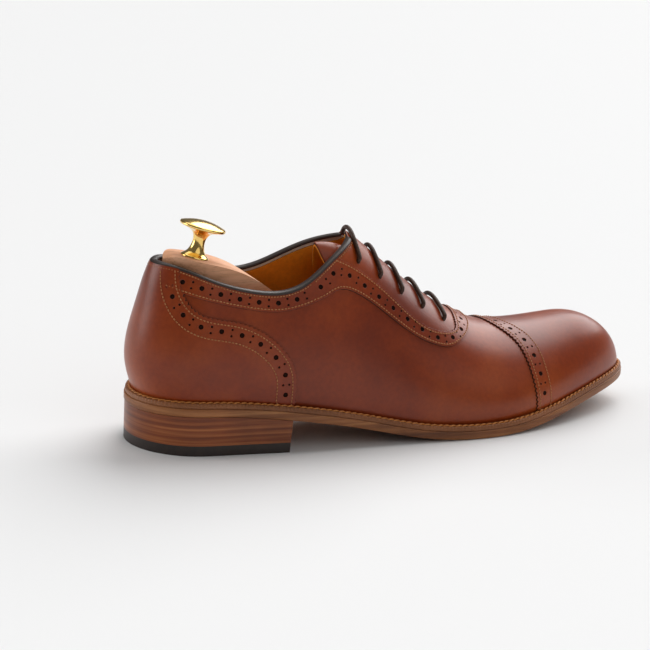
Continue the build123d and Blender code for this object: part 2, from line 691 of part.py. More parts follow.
with BuildPart() as tree_knob:
    with BuildSketch(Plane.XZ) as knob_profile:
        with BuildLine():
            Polyline((0, 0), (7.5, 0), (7.5, 1.0))
            Spline((7.5, 1.0), (5.4, 2.6), (3.7, 6.0), (3.3, 9.5), (4.6, 13.2), (8.4, 15.2), (12.0, 16.3))
            ThreePointArc((12.0, 16.3), (12.3, 17.1), (11.8, 17.9))
            Spline((11.8, 17.9), (8.0, 19.15), (4.0, 19.95), (0, 20.2))
            Line((0, 20.2), (0, 0))
        make_face()
    revolve(axis=Axis.Z)
    with BuildSketch(Plane.XY):
        Circle(STUD_R)
    extrude(amount=4, mode=Mode.SUBTRACT)
knob_solid = tree_knob.part.moved(knob_plane.location)

with BuildPart() as tree_heel_block:
    with BuildSketch():
        with BuildLine():
            Spline((17, 1.5), (21, -6.5), (32, -12.5), (46, -15), (62, -14), (76, -10.5), (84, -6))
            Line((84, -6), (84, 8))
            Spline((84, 8), (76, 12), (62, 15), (46, 16.5), (32, 15), (21, 9.5), (17, 1.5))
        make_face()
    extrude(amount=140)
    with BuildSketch(Plane.XZ.offset(-FAR)):
        with BuildLine():
            Spline(*BLOCK_TOP)
            Line(BLOCK_TOP[-1], BLOCK_BASE[0])
            Spline(*BLOCK_BASE)
            Line(BLOCK_BASE[-1], BLOCK_TOP[0])
        make_face()
    extrude(amount=2 * FAR, mode=Mode.INTERSECT)
    add(tree_rod.part, mode=Mode.SUBTRACT)
    add(knob_stud.part, mode=Mode.SUBTRACT)
    add(knob_solid, mode=Mode.SUBTRACT)

# ---- write the pieces ----
pieces = {
    "outsole": outsole.part, "welt": welt.part, "shank": shank.part, "cork_filler": cork_filler.part,
    "insole": insole.part, "sock_liner": sock_liner.part, "heel_top_lift": heel_top_lift.part,
    "heel_seat_lift": heel_seat_lift.part, "heel_nails": heel_nails.part, "counter": counter.part,
    "heel_counter": heel_counter.part, "quarter_backing": quarter_backing.part,
    "quarter_lining": quarter_lining.part, "topline_binding": topline_binding.part, "toe_cap": toe_cap.part,
    "lyre_strap": lyre_strap.part, "vamp": vamp.part, "toe_puff": toe_puff.part,
    "vamp_backing": vamp_backing.part, "vamp_lining": vamp_lining.part, "tongue": tongue.part,
    "tongue_lining": tongue_lining.part, "lace": lace.part, "tree_pins": tree_pins.part,
    "tree_core": tree_core.part, "tree_tube": tree_tube.part, "tree_rod": tree_rod.part,
    "tree_knob": knob_solid, "knob_stud": knob_stud.part, "tree_heel_block": tree_heel_block.part,
    "tree_toe_lateral": tree_halves["lateral"].part, "tree_toe_medial": tree_halves["medial"].part,
}
for i, lift in enumerate(heel_lifts):
    pieces[f"heel_lift_{i + 1}"] = lift.part
for pair, name in ((topline_straps, "topline_strap"), (quarters, "quarter"), (facings, "facing")):
    for half in pair.part.solids():
        side_name = "lateral" if half.center().Y < 3 else "medial"
        pieces[f"{name}_{side_name}"] = half
for name, piece in pieces.items():
    save(piece, name)
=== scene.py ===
import bpy
import math
import numpy as np
from mathutils import Matrix, Vector
from mathutils.geometry import delaunay_2d_cdt
from mathutils.kdtree import KDTree


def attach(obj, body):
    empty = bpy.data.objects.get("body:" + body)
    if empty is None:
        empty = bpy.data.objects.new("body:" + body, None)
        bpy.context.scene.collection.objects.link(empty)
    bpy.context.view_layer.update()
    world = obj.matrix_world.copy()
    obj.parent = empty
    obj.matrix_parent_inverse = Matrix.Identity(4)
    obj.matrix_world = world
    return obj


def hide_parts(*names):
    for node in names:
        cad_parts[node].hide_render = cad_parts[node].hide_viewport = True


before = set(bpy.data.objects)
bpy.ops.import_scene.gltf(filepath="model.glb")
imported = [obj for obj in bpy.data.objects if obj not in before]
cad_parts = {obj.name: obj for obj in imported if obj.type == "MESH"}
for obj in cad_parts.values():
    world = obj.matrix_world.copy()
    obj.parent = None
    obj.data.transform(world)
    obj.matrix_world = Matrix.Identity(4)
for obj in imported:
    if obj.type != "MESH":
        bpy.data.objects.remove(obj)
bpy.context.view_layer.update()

# ---- the last, in mm from the back of the heel; the same shape as the CAD part ----
LENGTH, HEEL_ROUND, FEATHER_INSET, FEATHER_H = 304.0, 35.5, 4.5, 7.2
ORIGIN = np.array([152.0, 3.15, 0.0])
CENTRE_Y = [4, 1, -2, -3, -1, 6, 13]
LATERAL_W = [34, 34, 38, 36, 41, 46, 43, 43]
MEDIAL_W = [34, 34, 31, 28, 36, 47, 47, 47]
LATERAL_TOE, MEDIAL_TOE = (133, 1.8, 1.9), (88, 2.2, 1.95)
SOLE_RISE = [21, 22, 20, 16, 10, 2, 0, 0.5, 5.5, 12, 15]
RIDGE_Y = [0, 0, 0, 0, 3, 6, 9, 12, 14]
CREST_H = [88, 92, 98, 104, 99, 83, 66, 49.5, 42, 37.5, 34.5, 28]
ARCH_POWER = [1.8, 1.8, 1.9, 2.0, 2.0, 2.0, 2.0, 2.0, 2.2, 2.4, 2.6, 2.6]
ARCH_ROOT = [0.5, 0.5, 0.5, 0.5, 0.52, 0.55, 0.55, 0.5, 0.45, 0.43, 0.43, 0.42]
BULGE = [2.5, 2.5, 2, 1, 1, 1.5, 2, 2, 2]
BACK_LEAN = [0, -4.5, -4.5, -1.5, 2, 5, 10.5, 20, 32]
LEAN_FADE, LEAN_HEIGHT, LEAN_POWER = 75.0, 100.0, 1.6
BULGE_SCALE = 9.48        # brings the peak of v (1 - v)^3 to 1
TOE_CLOSE, TOE_CLOSE_POWER, TOE_CLOSE_ROOT = 42.0, 2.4, 1.9
TOE_GAP = 0.03            # the front patch ends this far short of the toe's very tip
SPLIT = 90.0              # the skins are built in two patches that meet at this station

PANEL_DROP = 1.2          # the panels end this far below the topline, under the binding
TOPLINE = {-1: [(2, 95.5), (16, 98), (36, 92), (61, 85.5), (72, 85), (83, 87.5), (101, 98.5), (122, 110)],
           1: [(2, 95.5), (16, 98), (36, 92), (61, 87), (72, 88.5), (83, 93), (101, 102), (122, 108)]}
STRAP_EDGE = [(10, 88), (35, 81), (62, 75.5), (72, 75), (82, 76.5), (94, 80), (114, 89)]
COUNTER_EDGE = [(80, 29.3), (80, 36), (79, 44), (69, 59), (48, 70), (26, 77), (21, 88), (21.5, 98)]
LYRE_OUTER = [(107.5, .685), (129, .66), (154, .62), (166, .635), (177, .71), (187, .85), (192, .94)]
LYRE_JOINT = [(111, .668)]   # where the strap's lower edge has bent into the lyre's
LYRE_INNER = [(96.5, .8), (136, .79), (160, .73), (173, .78), (181, .885)]
LYRE_OUTER_END, LYRE_INNER_END = 194.0, 184.5
LYRE_MIDDLE = [(93, .76), (108, .745), (126, .73), (151, .695), (163, .685), (175, .745), (184, .87)]
# the cap's rear edge: place over the ridge (-1 lateral feather, 1 medial feather), station
CAP_LINE = [(-1, 225.5), (-0.65, 222), (-0.35, 218), (-0.15, 212), (0.1, 206.5), (0.5, 204), (1, 203)]
EYELET_START, EYELET_PITCH = 120.0, 13.4
EYELET_SHARE, EYELET_CLIMB = 0.86, 0.004
EYELETS = [(EYELET_START + i * EYELET_PITCH, EYELET_SHARE + i * EYELET_CLIMB) for i in range(5)]
HOLE_PITCH = 10.6         # big holes of the punched bands
COUNTER_BAND, CAP_BAND = 5.6, 5.6       # the holes run this far inside the edge
STRAP_START, STRAP_STATIONS = 14, (20, 30, 40, 50, 60, 70, 80, 88)
SLOT_W, SLOT_START, SLOT_END = 7.0, 100.0, 177.0
SLOT_CLOSE = 178.5        # the two facings meet from here on
RIDGE_GAP = 0.004         # each facing stays this share of the half width off the ridge line
BODY, OVERLAY, COUNTER = 0.45, -0.55, -0.95      # outer surfaces of the layers, as depths in mm
BODY_BACK, OVERLAY_BACK = 2.25, 0.6
LINING_LAYER, TONGUE_LAYER, TONGUE_BACK_LAYER = (3.12, 3.95), (7.4, 8.6), (8.6, 9.6)
BIG_HOLE, SMALL_HOLE, EYELET_R = 1.3, 0.62, 1.35
TONGUE_START, TONGUE_LENGTH, TONGUE_DEPTH = 100, 106, 8.0
TONGUE_SPREAD = 0.62      # share of the last's half width that the tongue covers
TONGUE_DIP, TONGUE_DIP_FROM = 0.06, 130      # the free end falls away from the last
TONGUE_RISE, TONGUE_RISE_FROM, TONGUE_RISE_RUN = 3.4, 184, 14


def spline(values, t):
    ends = np.concatenate(([2 * values[0] - values[1]], values, [2 * values[-1] - values[-2]]))
    spans = len(ends) - 3
    place = np.clip(t, 0, 1) * spans
    i = np.minimum(place.astype(int), spans - 1)
    f = place - i
    return ((1 - f) ** 3 * ends[i] + (3 * f ** 3 - 6 * f ** 2 + 4) * ends[i + 1]
            + (-3 * f ** 3 + 3 * f ** 2 + 3 * f + 1) * ends[i + 2] + f ** 3 * ends[i + 3]) / 6


def half_width(x, side, inset):
    out = []
    for widths, (toe, power, root) in ((LATERAL_W, LATERAL_TOE), (MEDIAL_W, MEDIAL_TOE)):
        back = np.clip((HEEL_ROUND - x) / (HEEL_ROUND - inset), 0, 1)
        front = np.clip((x - LENGTH + toe) / (toe - inset), 0, 1)
        out.append((spline(widths, x / LENGTH) - inset) * np.sqrt(1 - back ** 2)
                   * (1 - front ** power) ** (1 / root))
    return np.where(side < 0, out[0], out[1])


TREAD = spline(SOLE_RISE, np.linspace(0, 1, 401)).min()


def sole_z(x):
    return spline(SOLE_RISE, x / LENGTH) - TREAD


def feather_z(x):
    return sole_z(x) + FEATHER_H


def arch(x, depth):
    t = x / LENGTH
    inset = FEATHER_INSET + depth
    centre = spline(CENTRE_Y, t)
    low, high = centre - half_width(x, -1, inset), centre + half_width(x, 1, inset)
    full = spline(LATERAL_W, t) + spline(MEDIAL_W, t) - 2 * FEATHER_INSET
    round_off = np.sqrt(np.maximum(high - low, 0) / full)
    ridge = centre + (spline(RIDGE_Y, t) - centre) * round_off
    rise = np.clip((LENGTH - inset - x) / TOE_CLOSE, 0, 1)
    crest = (spline(CREST_H, t) - depth) * (1 - (1 - rise) ** TOE_CLOSE_POWER) ** (1 / TOE_CLOSE_ROOT)
    return ridge, low, high, crest, spline(BULGE, t) * round_off


def last_point(x, v, side, depth=0.0):
    x, v, side, depth = np.broadcast_arrays(*[np.asarray(a, float) for a in (x, v, side, depth)])
    ridge, low, high, crest, bulge = arch(x, depth)
    reach = np.where(side > 0, high - ridge, ridge - low)
    v = np.clip(v, 0, 1)
    y = ridge + side * (reach * spread_of(x, v) + bulge * BULGE_SCALE * v * (1 - v) ** 3)
    height = crest * v
    lean = spline(BACK_LEAN, height / LEAN_HEIGHT) * np.maximum(1 - x / LEAN_FADE, 0) ** LEAN_POWER
    return np.stack([x + lean, y, feather_z(x) + height], -1)


def spread_of(x, v):
    return np.maximum(1 - v ** spline(ARCH_POWER, x / LENGTH), 0) ** spline(ARCH_ROOT, x / LENGTH)


def share_of(x, spread):
    rise = np.maximum(1 - spread ** (1 / spline(ARCH_ROOT, x / LENGTH)), 0)
    return rise ** (1 / spline(ARCH_POWER, x / LENGTH))


class Front:
    """Patch over the ridge from SPLIT to the toe: m along, n from lateral to medial."""
    scale = np.array([300.0, 80.0])

    @staticmethod
    def at(q, depth=0.0):
        m, n = q[..., 0], q[..., 1]
        end = LENGTH - FEATHER_INSET - depth - TOE_GAP
        x = SPLIT + (end - SPLIT) * np.sin(np.clip(m, 0, 1) * math.pi / 2)
        v = share_of(x, np.sin(np.minimum(np.abs(n), 1) * math.pi / 2))
        return last_point(x, v, np.where(n > 0, 1, -1), depth)

    @staticmethod
    def of(x, v, side):
        x, v, side = (np.asarray(a, float) for a in (x, v, side))
        end = LENGTH - FEATHER_INSET - TOE_GAP
        m = 2 / math.pi * np.arcsin(np.clip((x - SPLIT) / (end - SPLIT), 0, 1))
        return np.stack([m, side * 2 / math.pi * np.arcsin(np.clip(spread_of(x, v), 0, 1))], -1)


class Rear:
    """Patch round the heel up to SPLIT: m from lateral round to medial, n up."""
    scale = np.array([115.0, 90.0])

    @staticmethod
    def at(q, depth=0.0):
        m, n = q[..., 0], q[..., 1]
        start = FEATHER_INSET + depth
        x = start + (SPLIT - start) * (1 - np.cos(np.clip(m, -1, 1) * math.pi / 2))
        return last_point(x, n, np.where(m > 0, 1, -1), depth)

    @staticmethod
    def of(x, v, side):
        x, v, side = (np.asarray(a, float) for a in (x, v, side))
        m = 2 / math.pi * np.arccos(np.clip(1 - (x - FEATHER_INSET) / (SPLIT - FEATHER_INSET), -1, 1))
        return np.stack([side * m, v + 0 * m], -1)


class Tongue:
    """The tongue's own patch, which dips away from the last above the lacing."""
    scale = np.array([TONGUE_LENGTH, 40.0])

    @staticmethod
    def at(q, depth=0.0):
        x = TONGUE_START + TONGUE_LENGTH * np.clip(q[..., 0], 0, 1)
        dip = TONGUE_DIP * np.maximum(TONGUE_DIP_FROM - x, 0) ** 1.5
        rise = np.clip((x - TONGUE_RISE_FROM) / TONGUE_RISE_RUN, 0, 1) ** 2 * TONGUE_RISE
        v = share_of(x, TONGUE_SPREAD * np.sin(np.minimum(np.abs(q[..., 1]), 1) * math.pi / 2))
        return last_point(x, v, np.where(q[..., 1] > 0, 1, -1), depth + dip - rise)


def frame_at(skin, q, depth=0.0):
    """Tangents along m and n, and the outward normal, at each place."""
    e = 2e-4
    dm, dn = np.array([e, 0]), np.array([0, e])
    a = (skin.at(q + dm, depth) - skin.at(q - dm, depth)) / (2 * e)
    b = (skin.at(q + dn, depth) - skin.at(q - dn, depth)) / (2 * e)
    normal = np.cross(a, b)
    normal /= np.maximum(np.linalg.norm(normal, axis=-1, keepdims=True), 1e-9)
    out = skin.at(q, depth) - skin.at(q, depth + 0.5)
    sign = np.where((normal * out).sum(-1) < 0, -1.0, 1.0)
    return a, b, normal * sign[..., None], normal


def tangents(points):
    t = np.gradient(points, axis=0)
    return t / np.maximum(np.linalg.norm(t, axis=-1, keepdims=True), 1e-12)


def move(skin, q, step):
    """Param places moved by a 3-D step within the surface."""
    a, b, _, _ = frame_at(skin, q)
    aa, bb, ab = (a * a).sum(-1), (b * b).sum(-1), (a * b).sum(-1)
    sa, sb = (a * step).sum(-1), (b * step).sum(-1)
    det = np.maximum(aa * bb - ab * ab, 1e-9)
    return q + np.stack([(bb * sa - ab * sb) / det, (aa * sb - ab * sa) / det], -1)


def offset(skin, q, distance):
    """A line moved sideways within the surface, to its left for a positive distance."""
    steps = max(1, int(abs(distance) / 1.5))
    for _ in range(steps):
        _, _, _, raw = frame_at(skin, q)
        q = move(skin, q, np.cross(raw, tangents(skin.at(q))) * distance / steps)
    return q


def smooth_line(points, count=400):
    """Natural cubic spline through 2-D points."""
    p = np.asarray(points, float)
    t = np.concatenate(([0], np.cumsum(np.linalg.norm(np.diff(p, axis=0), axis=1))))
    n = len(p)
    h = np.diff(t)
    system, right = np.eye(n), np.zeros((n, 2))
    for i in range(1, n - 1):
        system[i, i - 1], system[i, i], system[i, i + 1] = h[i - 1], 2 * (h[i - 1] + h[i]), h[i]
        right[i] = 6 * ((p[i + 1] - p[i]) / h[i] - (p[i] - p[i - 1]) / h[i - 1])
    second = np.linalg.solve(system, right)
    s = np.linspace(0, t[-1], count)
    i = np.clip(np.searchsorted(t, s) - 1, 0, n - 2)
    u, w = (t[i + 1] - s)[:, None], (s - t[i])[:, None]
    k = h[i][:, None]
    return (second[i] * u ** 3 + second[i + 1] * w ** 3) / (6 * k) + (p[i] / k - second[i] * k / 6) * u \
        + (p[i + 1] / k - second[i + 1] * k / 6) * w


def even(skin, q, step=None, count=None):
    """A line resampled at even spacing along the surface."""
    p = skin.at(q)
    t = np.concatenate(([0], np.cumsum(np.linalg.norm(np.diff(p, axis=0), axis=1))))
    count = count or max(2, int(round(t[-1] / step)) + 1)
    s = np.linspace(0, t[-1], count)
    return np.stack([np.interp(s, t, q[:, 0]), np.interp(s, t, q[:, 1])], -1)


def gimped(skin, q, pitch=2.6, height=0.85):
    """A line with saw teeth to its right."""
    length = np.linalg.norm(np.diff(skin.at(q), axis=0), axis=1).sum()
    teeth = max(1, int(round(length / pitch)))
    line = even(skin, q, count=teeth * 6 + 1)
    phase = (np.arange(len(line)) % 6) / 6
    tooth = 1 - np.abs(phase * 2 - 1) ** 0.8
    _, _, _, raw = frame_at(skin, line)
    side = np.cross(raw, tangents(skin.at(even(skin, q, count=len(line)))))
    return move(skin, line, -side * ((tooth - 0.5) * height)[:, None])


# ---- lines on the skins ----
def points_on(skin, points, side):
    """Params of (station, share) points of one side."""
    return skin.of([p[0] for p in points], [p[1] for p in points], side)


def side_view(side, line, skin, count=300):
    """Param line of a side-view line (station, height) on one side."""
    if len(line) > 2:
        line = smooth_line(line, count)
    line = np.asarray(line, float)
    x, v = line[:, 0].copy(), np.full(len(line), 0.5)
    for _ in range(60):
        p = last_point(x, v, side)
        v = np.clip(v + (line[:, 1] - p[:, 2]) / np.maximum(arch(x, 0.0)[3], 5), 0, 1)
        x = np.clip(x + (line[:, 0] - p[:, 0]), FEATHER_INSET, LENGTH - 5)
    return skin.of(x, v, side)


def share_line(points, side, skin=Front, end=None, count=300):
    """Param line through (station, share) points of one side, and on to the ridge at end."""
    q = points_on(skin, points, side)
    if end is not None:
        q = np.vstack([q, skin.of(end, 1.0, side)[None]])
    return smooth_line(q, count)


def u_line(points, end, count=600):
    """Line over the ridge through lateral points, the ridge at end, and the medial points."""
    a, b = points_on(Front, points, -1), points_on(Front, points[::-1], 1)
    return smooth_line(np.vstack([a, Front.of(end, 1.0, 1)[None], b]), count)


def rear_top(m, drop=PANEL_DROP):
    """Height share of the topline at each place round the heel."""
    m = np.asarray(m, float)
    x = FEATHER_INSET + (SPLIT - FEATHER_INSET) * (1 - np.cos(m * math.pi / 2))
    side = np.where(m > 0, 1, -1)
    lines = {s: smooth_line(TOPLINE[s], 600) - [0, drop] for s in (-1, 1)}
    v = np.full(m.shape, 0.7)
    for _ in range(40):
        p = last_point(x, v, side)
        z = np.where(side < 0, np.interp(p[..., 0], *lines[-1].T), np.interp(p[..., 0], *lines[1].T))
        v = np.clip(v + (z - p[..., 2]) / arch(x, 0.0)[3], 0, 1)
    return v


def front_top(side, ahead, drop=PANEL_DROP, count=120):
    """Topline from SPLIT forward to the lace opening on one side."""
    line = smooth_line(TOPLINE[side], 600) - [0, drop]
    x = np.linspace(SPLIT, ahead, count)
    z = np.interp(x, line[:, 0], line[:, 1])
    return Front.of(x, np.clip((z - feather_z(x)) / arch(x, 0.0)[3], 0, 1), side)


def slot_edge(side, start, end=SLOT_END, gap=SLOT_W / 2, count=120):
    x = np.linspace(start, end, count)
    ridge, low, high, _, _ = arch(x, np.zeros(count))
    reach = (high - ridge) if side > 0 else (ridge - low)
    return Front.of(x, share_of(x, gap / reach), side)


def crossing(a, b):
    """Indexes of the nearest places of two param lines."""
    d = np.linalg.norm((a[:, None] - b[None]) * [2, 1], axis=2)
    return np.unravel_index(d.argmin(), d.shape)


# ---- meshes ----
def new_object(name, verts_mm, faces, material, normals=None, smooth=True):
    mesh = bpy.data.meshes.new(name)
    mesh.from_pydata(((np.asarray(verts_mm) - ORIGIN) * 0.001).tolist(), [], faces)
    mesh.polygons.foreach_set("use_smooth", [smooth] * len(mesh.polygons))
    mesh.update()
    if normals is not None:
        mesh.normals_split_custom_set_from_vertices(np.asarray(normals).tolist())
    obj = bpy.data.objects.new(name, mesh)
    bpy.context.collection.objects.link(obj)
    mesh.materials.append(material)
    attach(obj, "shoe")
    return obj


def circle(skin, centre, radius, count):
    a, _, _, raw = frame_at(skin, centre)
    e1 = a / np.linalg.norm(a)
    e2 = np.cross(raw, e1)
    angle = np.arange(count) * 2 * math.pi / count
    step = radius * (np.cos(angle)[:, None] * e1 + np.sin(angle)[:, None] * e2)
    return move(skin, np.repeat(centre[None], count, 0), step)


def panel_mesh(skin, outline, depths, step, holes=(), bevel=0.22, butt=None):
    """Closed sheet of leather inside an outline of param places, with round holes punched through.
    The rim is rounded except where butt(q) is true. Gives places, triangles and normals."""
    area = (outline[:, 0] * np.roll(outline[:, 1], -1) - outline[:, 1] * np.roll(outline[:, 0], -1)).sum()
    if area < 0:
        outline = outline[::-1]
    keep = np.linalg.norm(skin.at(outline) - skin.at(np.roll(outline, 1, 0)), axis=1) > 0.02
    outline = outline[keep]
    loops = [(outline, 1.0)] + [(circle(skin, c, r, 18 if r > 1 else 10), -1.0) for c, r in holes]
    places, edges, rim_dirs, rims = [], [], [], []
    total = 0
    for loop, sign in loops:
        p = skin.at(loop)
        t = np.roll(p, -1, 0) - np.roll(p, 1, 0)
        t /= np.maximum(np.linalg.norm(t, axis=1, keepdims=True), 1e-9)
        _, _, _, raw = frame_at(skin, loop)
        inward = np.cross(raw, t) * sign
        flat = np.zeros(len(loop), bool) if butt is None or sign < 0 else butt(loop)
        places.append(loop)
        rim_dirs.append(-inward)
        rims.append(np.where(flat, 0, 1))
        edges += [(total + i, total + (i + 1) % len(loop)) for i in range(len(loop))]
        total += len(loop)
        ring = move(skin, loop, inward * bevel)[~flat]
        places.append(ring)
        rim_dirs.append(np.zeros((len(ring), 3)))
        rims.append(np.full(len(ring), 2))
        total += len(ring)
    near = np.vstack(places)
    tree = KDTree(len(near))
    for i, p in enumerate(skin.at(near)):
        tree.insert(p, i)
    tree.balance()
    lo, hi = outline.min(0), outline.max(0)
    rows = max(3, int((hi[0] - lo[0]) * 400 / step) // 2)
    m_line = np.stack([np.linspace(lo[0], hi[0], rows), np.full(rows, (lo[1] + hi[1]) / 2 * 0.5)], -1)
    ms = even(skin, m_line, step=step)[:, 0]
    free = []
    for k, m in enumerate(ms):
        row = np.stack([np.full(60, m), np.linspace(lo[1], hi[1], 60)], -1)
        row = even(skin, row, step=step)
        if k % 2 and len(row) > 2:
            row = (row[1:] + row[:-1]) / 2
        free.append(row)
    free = np.vstack(free)
    good = np.array([tree.find(p)[2] > 0.5 * step for p in skin.at(free)])
    hole_at = skin.at(np.array([c for c, _ in holes])) if len(holes) else np.zeros((0, 3))
    hole_r = np.array([r for _, r in holes])
    for at, r in zip(hole_at, hole_r):
        good &= np.linalg.norm(skin.at(free) - at, axis=1) > r
    free = free[good]
    everything = np.vstack([near, free])
    rim = np.concatenate(rims + [np.full(len(free), 2)])
    rim_dir = np.vstack(rim_dirs + [np.zeros((len(free), 3))])
    scaled = [Vector(q) for q in (everything * skin.scale).tolist()]
    out_q, _, faces, source, _, _ = delaunay_2d_cdt(scaled, edges, [], 2, 1e-6)
    q = np.array([tuple(v) for v in out_q]) / skin.scale
    first = np.array([s[0] if s else -1 for s in source])
    faces = np.array(faces)
    middles = skin.at(q[faces].mean(1))
    solid = np.ones(len(faces), bool)
    for at, r in zip(hole_at, hole_r):
        solid &= np.linalg.norm(middles - at, axis=1) > r * 0.97
    faces = faces[solid]
    used = np.unique(faces)
    index = np.full(len(q), -1)
    index[used] = np.arange(len(used))
    q, first = q[used], first[used]
    tri = index[faces]
    kind = np.where(first >= 0, rim[first], 2)
    out_dir = np.where((first >= 0)[:, None], rim_dir[first], 0)
    d0, d1 = depths
    top = skin.at(q, d0 + np.where(kind == 1, bevel * 0.85, 0.0))
    bottom = skin.at(q, d1)
    _, _, normal, raw = frame_at(skin, q, d0)
    flip = (normal * raw).sum(-1).mean() < 0
    tilt = np.where((kind == 1)[:, None], out_dir * 0.9, 0)
    up = normal + tilt
    down = -normal * np.where(kind == 1, 0.35, 1.0)[:, None] + tilt
    count = len(q)
    a = tri[:, [0, 2, 1]] if flip else tri
    directed = np.vstack([a[:, [0, 1]], a[:, [1, 2]], a[:, [2, 0]]])
    pair = np.sort(directed, axis=1)
    key = pair[:, 0] * count + pair[:, 1]
    _, first_at, times = np.unique(key, return_index=True, return_counts=True)
    border = directed[first_at[times == 1]]
    walls = [(int(i), int(i + count), int(j + count), int(j)) for i, j in border]
    faces = walls + a.tolist() + (a[:, [0, 2, 1]] + count).tolist()
    normals = np.vstack([up, down])
    normals /= np.maximum(np.linalg.norm(normals, axis=1, keepdims=True), 1e-9)
    return np.vstack([top, bottom]), faces, normals, len(walls)


def panel(name, parts, material, replaced=()):
    """One object from several sheets."""
    verts, faces, normals, cut, total = [], [], [], [], 0
    for v, f, n, walls in parts:
        verts.append(v)
        normals.append(n)
        faces += [tuple(i + total for i in face) for face in f]
        cut += [1] * walls + [0] * (len(f) - walls)
        total += len(v)
    obj = new_object(name, np.vstack(verts), faces, material, np.vstack(normals))
    # the panel walls get the dark cut-edge material: edge dye plus painted shade along the steps
    if material is UPPER:
        obj.data.materials.append(CUT_EDGE_DYE_AND_SHADE)
        obj.data.polygons.foreach_set("material_index", cut)
    if replaced:
        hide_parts(*replaced)
    return obj


def front_seam(q):
    return (q[:, 0] < 1e-6) | (q[:, 0] > 0.9985) | (np.abs(q[:, 1]) > 0.9999)


def rear_seam(q):
    return (np.abs(q[:, 0]) > 0.99999) | (q[:, 1] < 1e-6)


def run(a, b, count):
    """Straight param run."""
    return np.linspace(a, b, count)


def thread_faces(base, rings, sides):
    """Side faces of threads; base holds the index of each thread's first point."""
    faces = []
    for ring in range(rings - 1):
        for k in range(sides):
            i, j = ring * sides + k, ring * sides + (k + 1) % sides
            faces.append(np.stack([base + n * len(base) for n in (i, j, j + sides, i + sides)], -1))
    return faces


def stitch_mesh(rows, length=1.40, width=0.34, lift=0.20):
    """Short raised threads along lines; each row is (skin, line, depth, pitch)."""
    t = np.array([-.5, -.36, 0, .36, .5])
    radius = np.array([.35, .9, 1, .9, .35]) * width
    rise = np.array([-.16, .04, lift, .04, -.16])
    sides = 6
    angle = np.arange(sides) * 2 * math.pi / sides
    verts, faces, total = [], [], 0
    for skin, line, depth, pitch in rows:
        q = even(skin, line, step=pitch)
        middle = (q[1:] + q[:-1]) / 2
        p = skin.at(middle, depth)
        along = skin.at(q[1:], depth) - skin.at(q[:-1], depth)
        size = np.linalg.norm(along, axis=1, keepdims=True)
        along = along / np.maximum(size, 1e-9)
        _, _, up, _ = frame_at(skin, middle, depth)
        across = np.cross(up, along)
        scale = length / 1.9 * size
        for ring in range(len(t)):
            for a in angle:
                verts.append(p + along * t[ring] * scale + across * radius[ring] * math.cos(a)
                             + up * (rise[ring] + radius[ring] * 0.8 * math.sin(a)))
        count = len(p)
        faces += thread_faces(total + np.arange(count), len(t), sides)
        total += count * len(t) * sides
    return np.vstack(verts), np.vstack(faces).tolist()


# ---- materials ----
def links(material):
    material.use_nodes = True
    tree = material.node_tree
    return tree.nodes, tree.links, tree.nodes["Principled BSDF"]


def started(name):
    """A new material, its nodes, links and shader, and the object's coordinates."""
    material = bpy.data.materials.new(name)
    nodes, link, shader = links(material)
    return material, nodes, link, shader, nodes.new("ShaderNodeTexCoord").outputs["Object"]


def ramp(nodes, stops):
    node = nodes.new("ShaderNodeValToRGB")
    while len(node.color_ramp.elements) < len(stops):
        node.color_ramp.elements.new(0.5)
    for element, (at, colour) in zip(node.color_ramp.elements, stops):
        element.position = at
        element.color = (*colour, 1)
    return node


def noise(nodes, link, coords, scale, detail=4.0, rough=0.55, stretch=None):
    if stretch is not None:
        mapping = nodes.new("ShaderNodeMapping")
        mapping.inputs["Scale"].default_value = stretch
        link.new(coords, mapping.inputs["Vector"])
        coords = mapping.outputs["Vector"]
    node = nodes.new("ShaderNodeTexNoise")
    node.inputs["Scale"].default_value = scale
    node.inputs["Detail"].default_value = detail
    node.inputs["Roughness"].default_value = rough
    link.new(coords, node.inputs["Vector"])
    return node.outputs["Fac"]


def bump(nodes, link, height, strength, distance, after=None):
    node = nodes.new("ShaderNodeBump")
    node.inputs["Strength"].default_value = strength
    node.inputs["Distance"].default_value = distance
    link.new(height, node.inputs["Height"])
    if after is not None:
        link.new(after, node.inputs["Normal"])
    return node.outputs["Normal"]


def mix(nodes, link, factor, a, b, blend="MIX"):
    node = nodes.new("ShaderNodeMix")
    node.data_type = "RGBA"
    node.blend_type = blend
    for socket, value in ((node.inputs["Factor"], factor), (node.inputs["A"], a), (node.inputs["B"], b)):
        if isinstance(value, bpy.types.NodeSocket):
            link.new(value, socket)
        elif isinstance(value, tuple):
            socket.default_value = (*value, 1)
        else:
            socket.default_value = value
    return node.outputs["Result"]


def coloured(nodes, link, shader, *layers):
    """Base colour from two (pattern, stops) layers, multiplied."""
    colours = []
    for pattern, stops in layers:
        node = ramp(nodes, stops)
        link.new(pattern, node.inputs["Fac"])
        colours.append(node.outputs["Color"])
    link.new(mix(nodes, link, 1.0, *colours, "MULTIPLY"), shader.inputs["Base Color"])


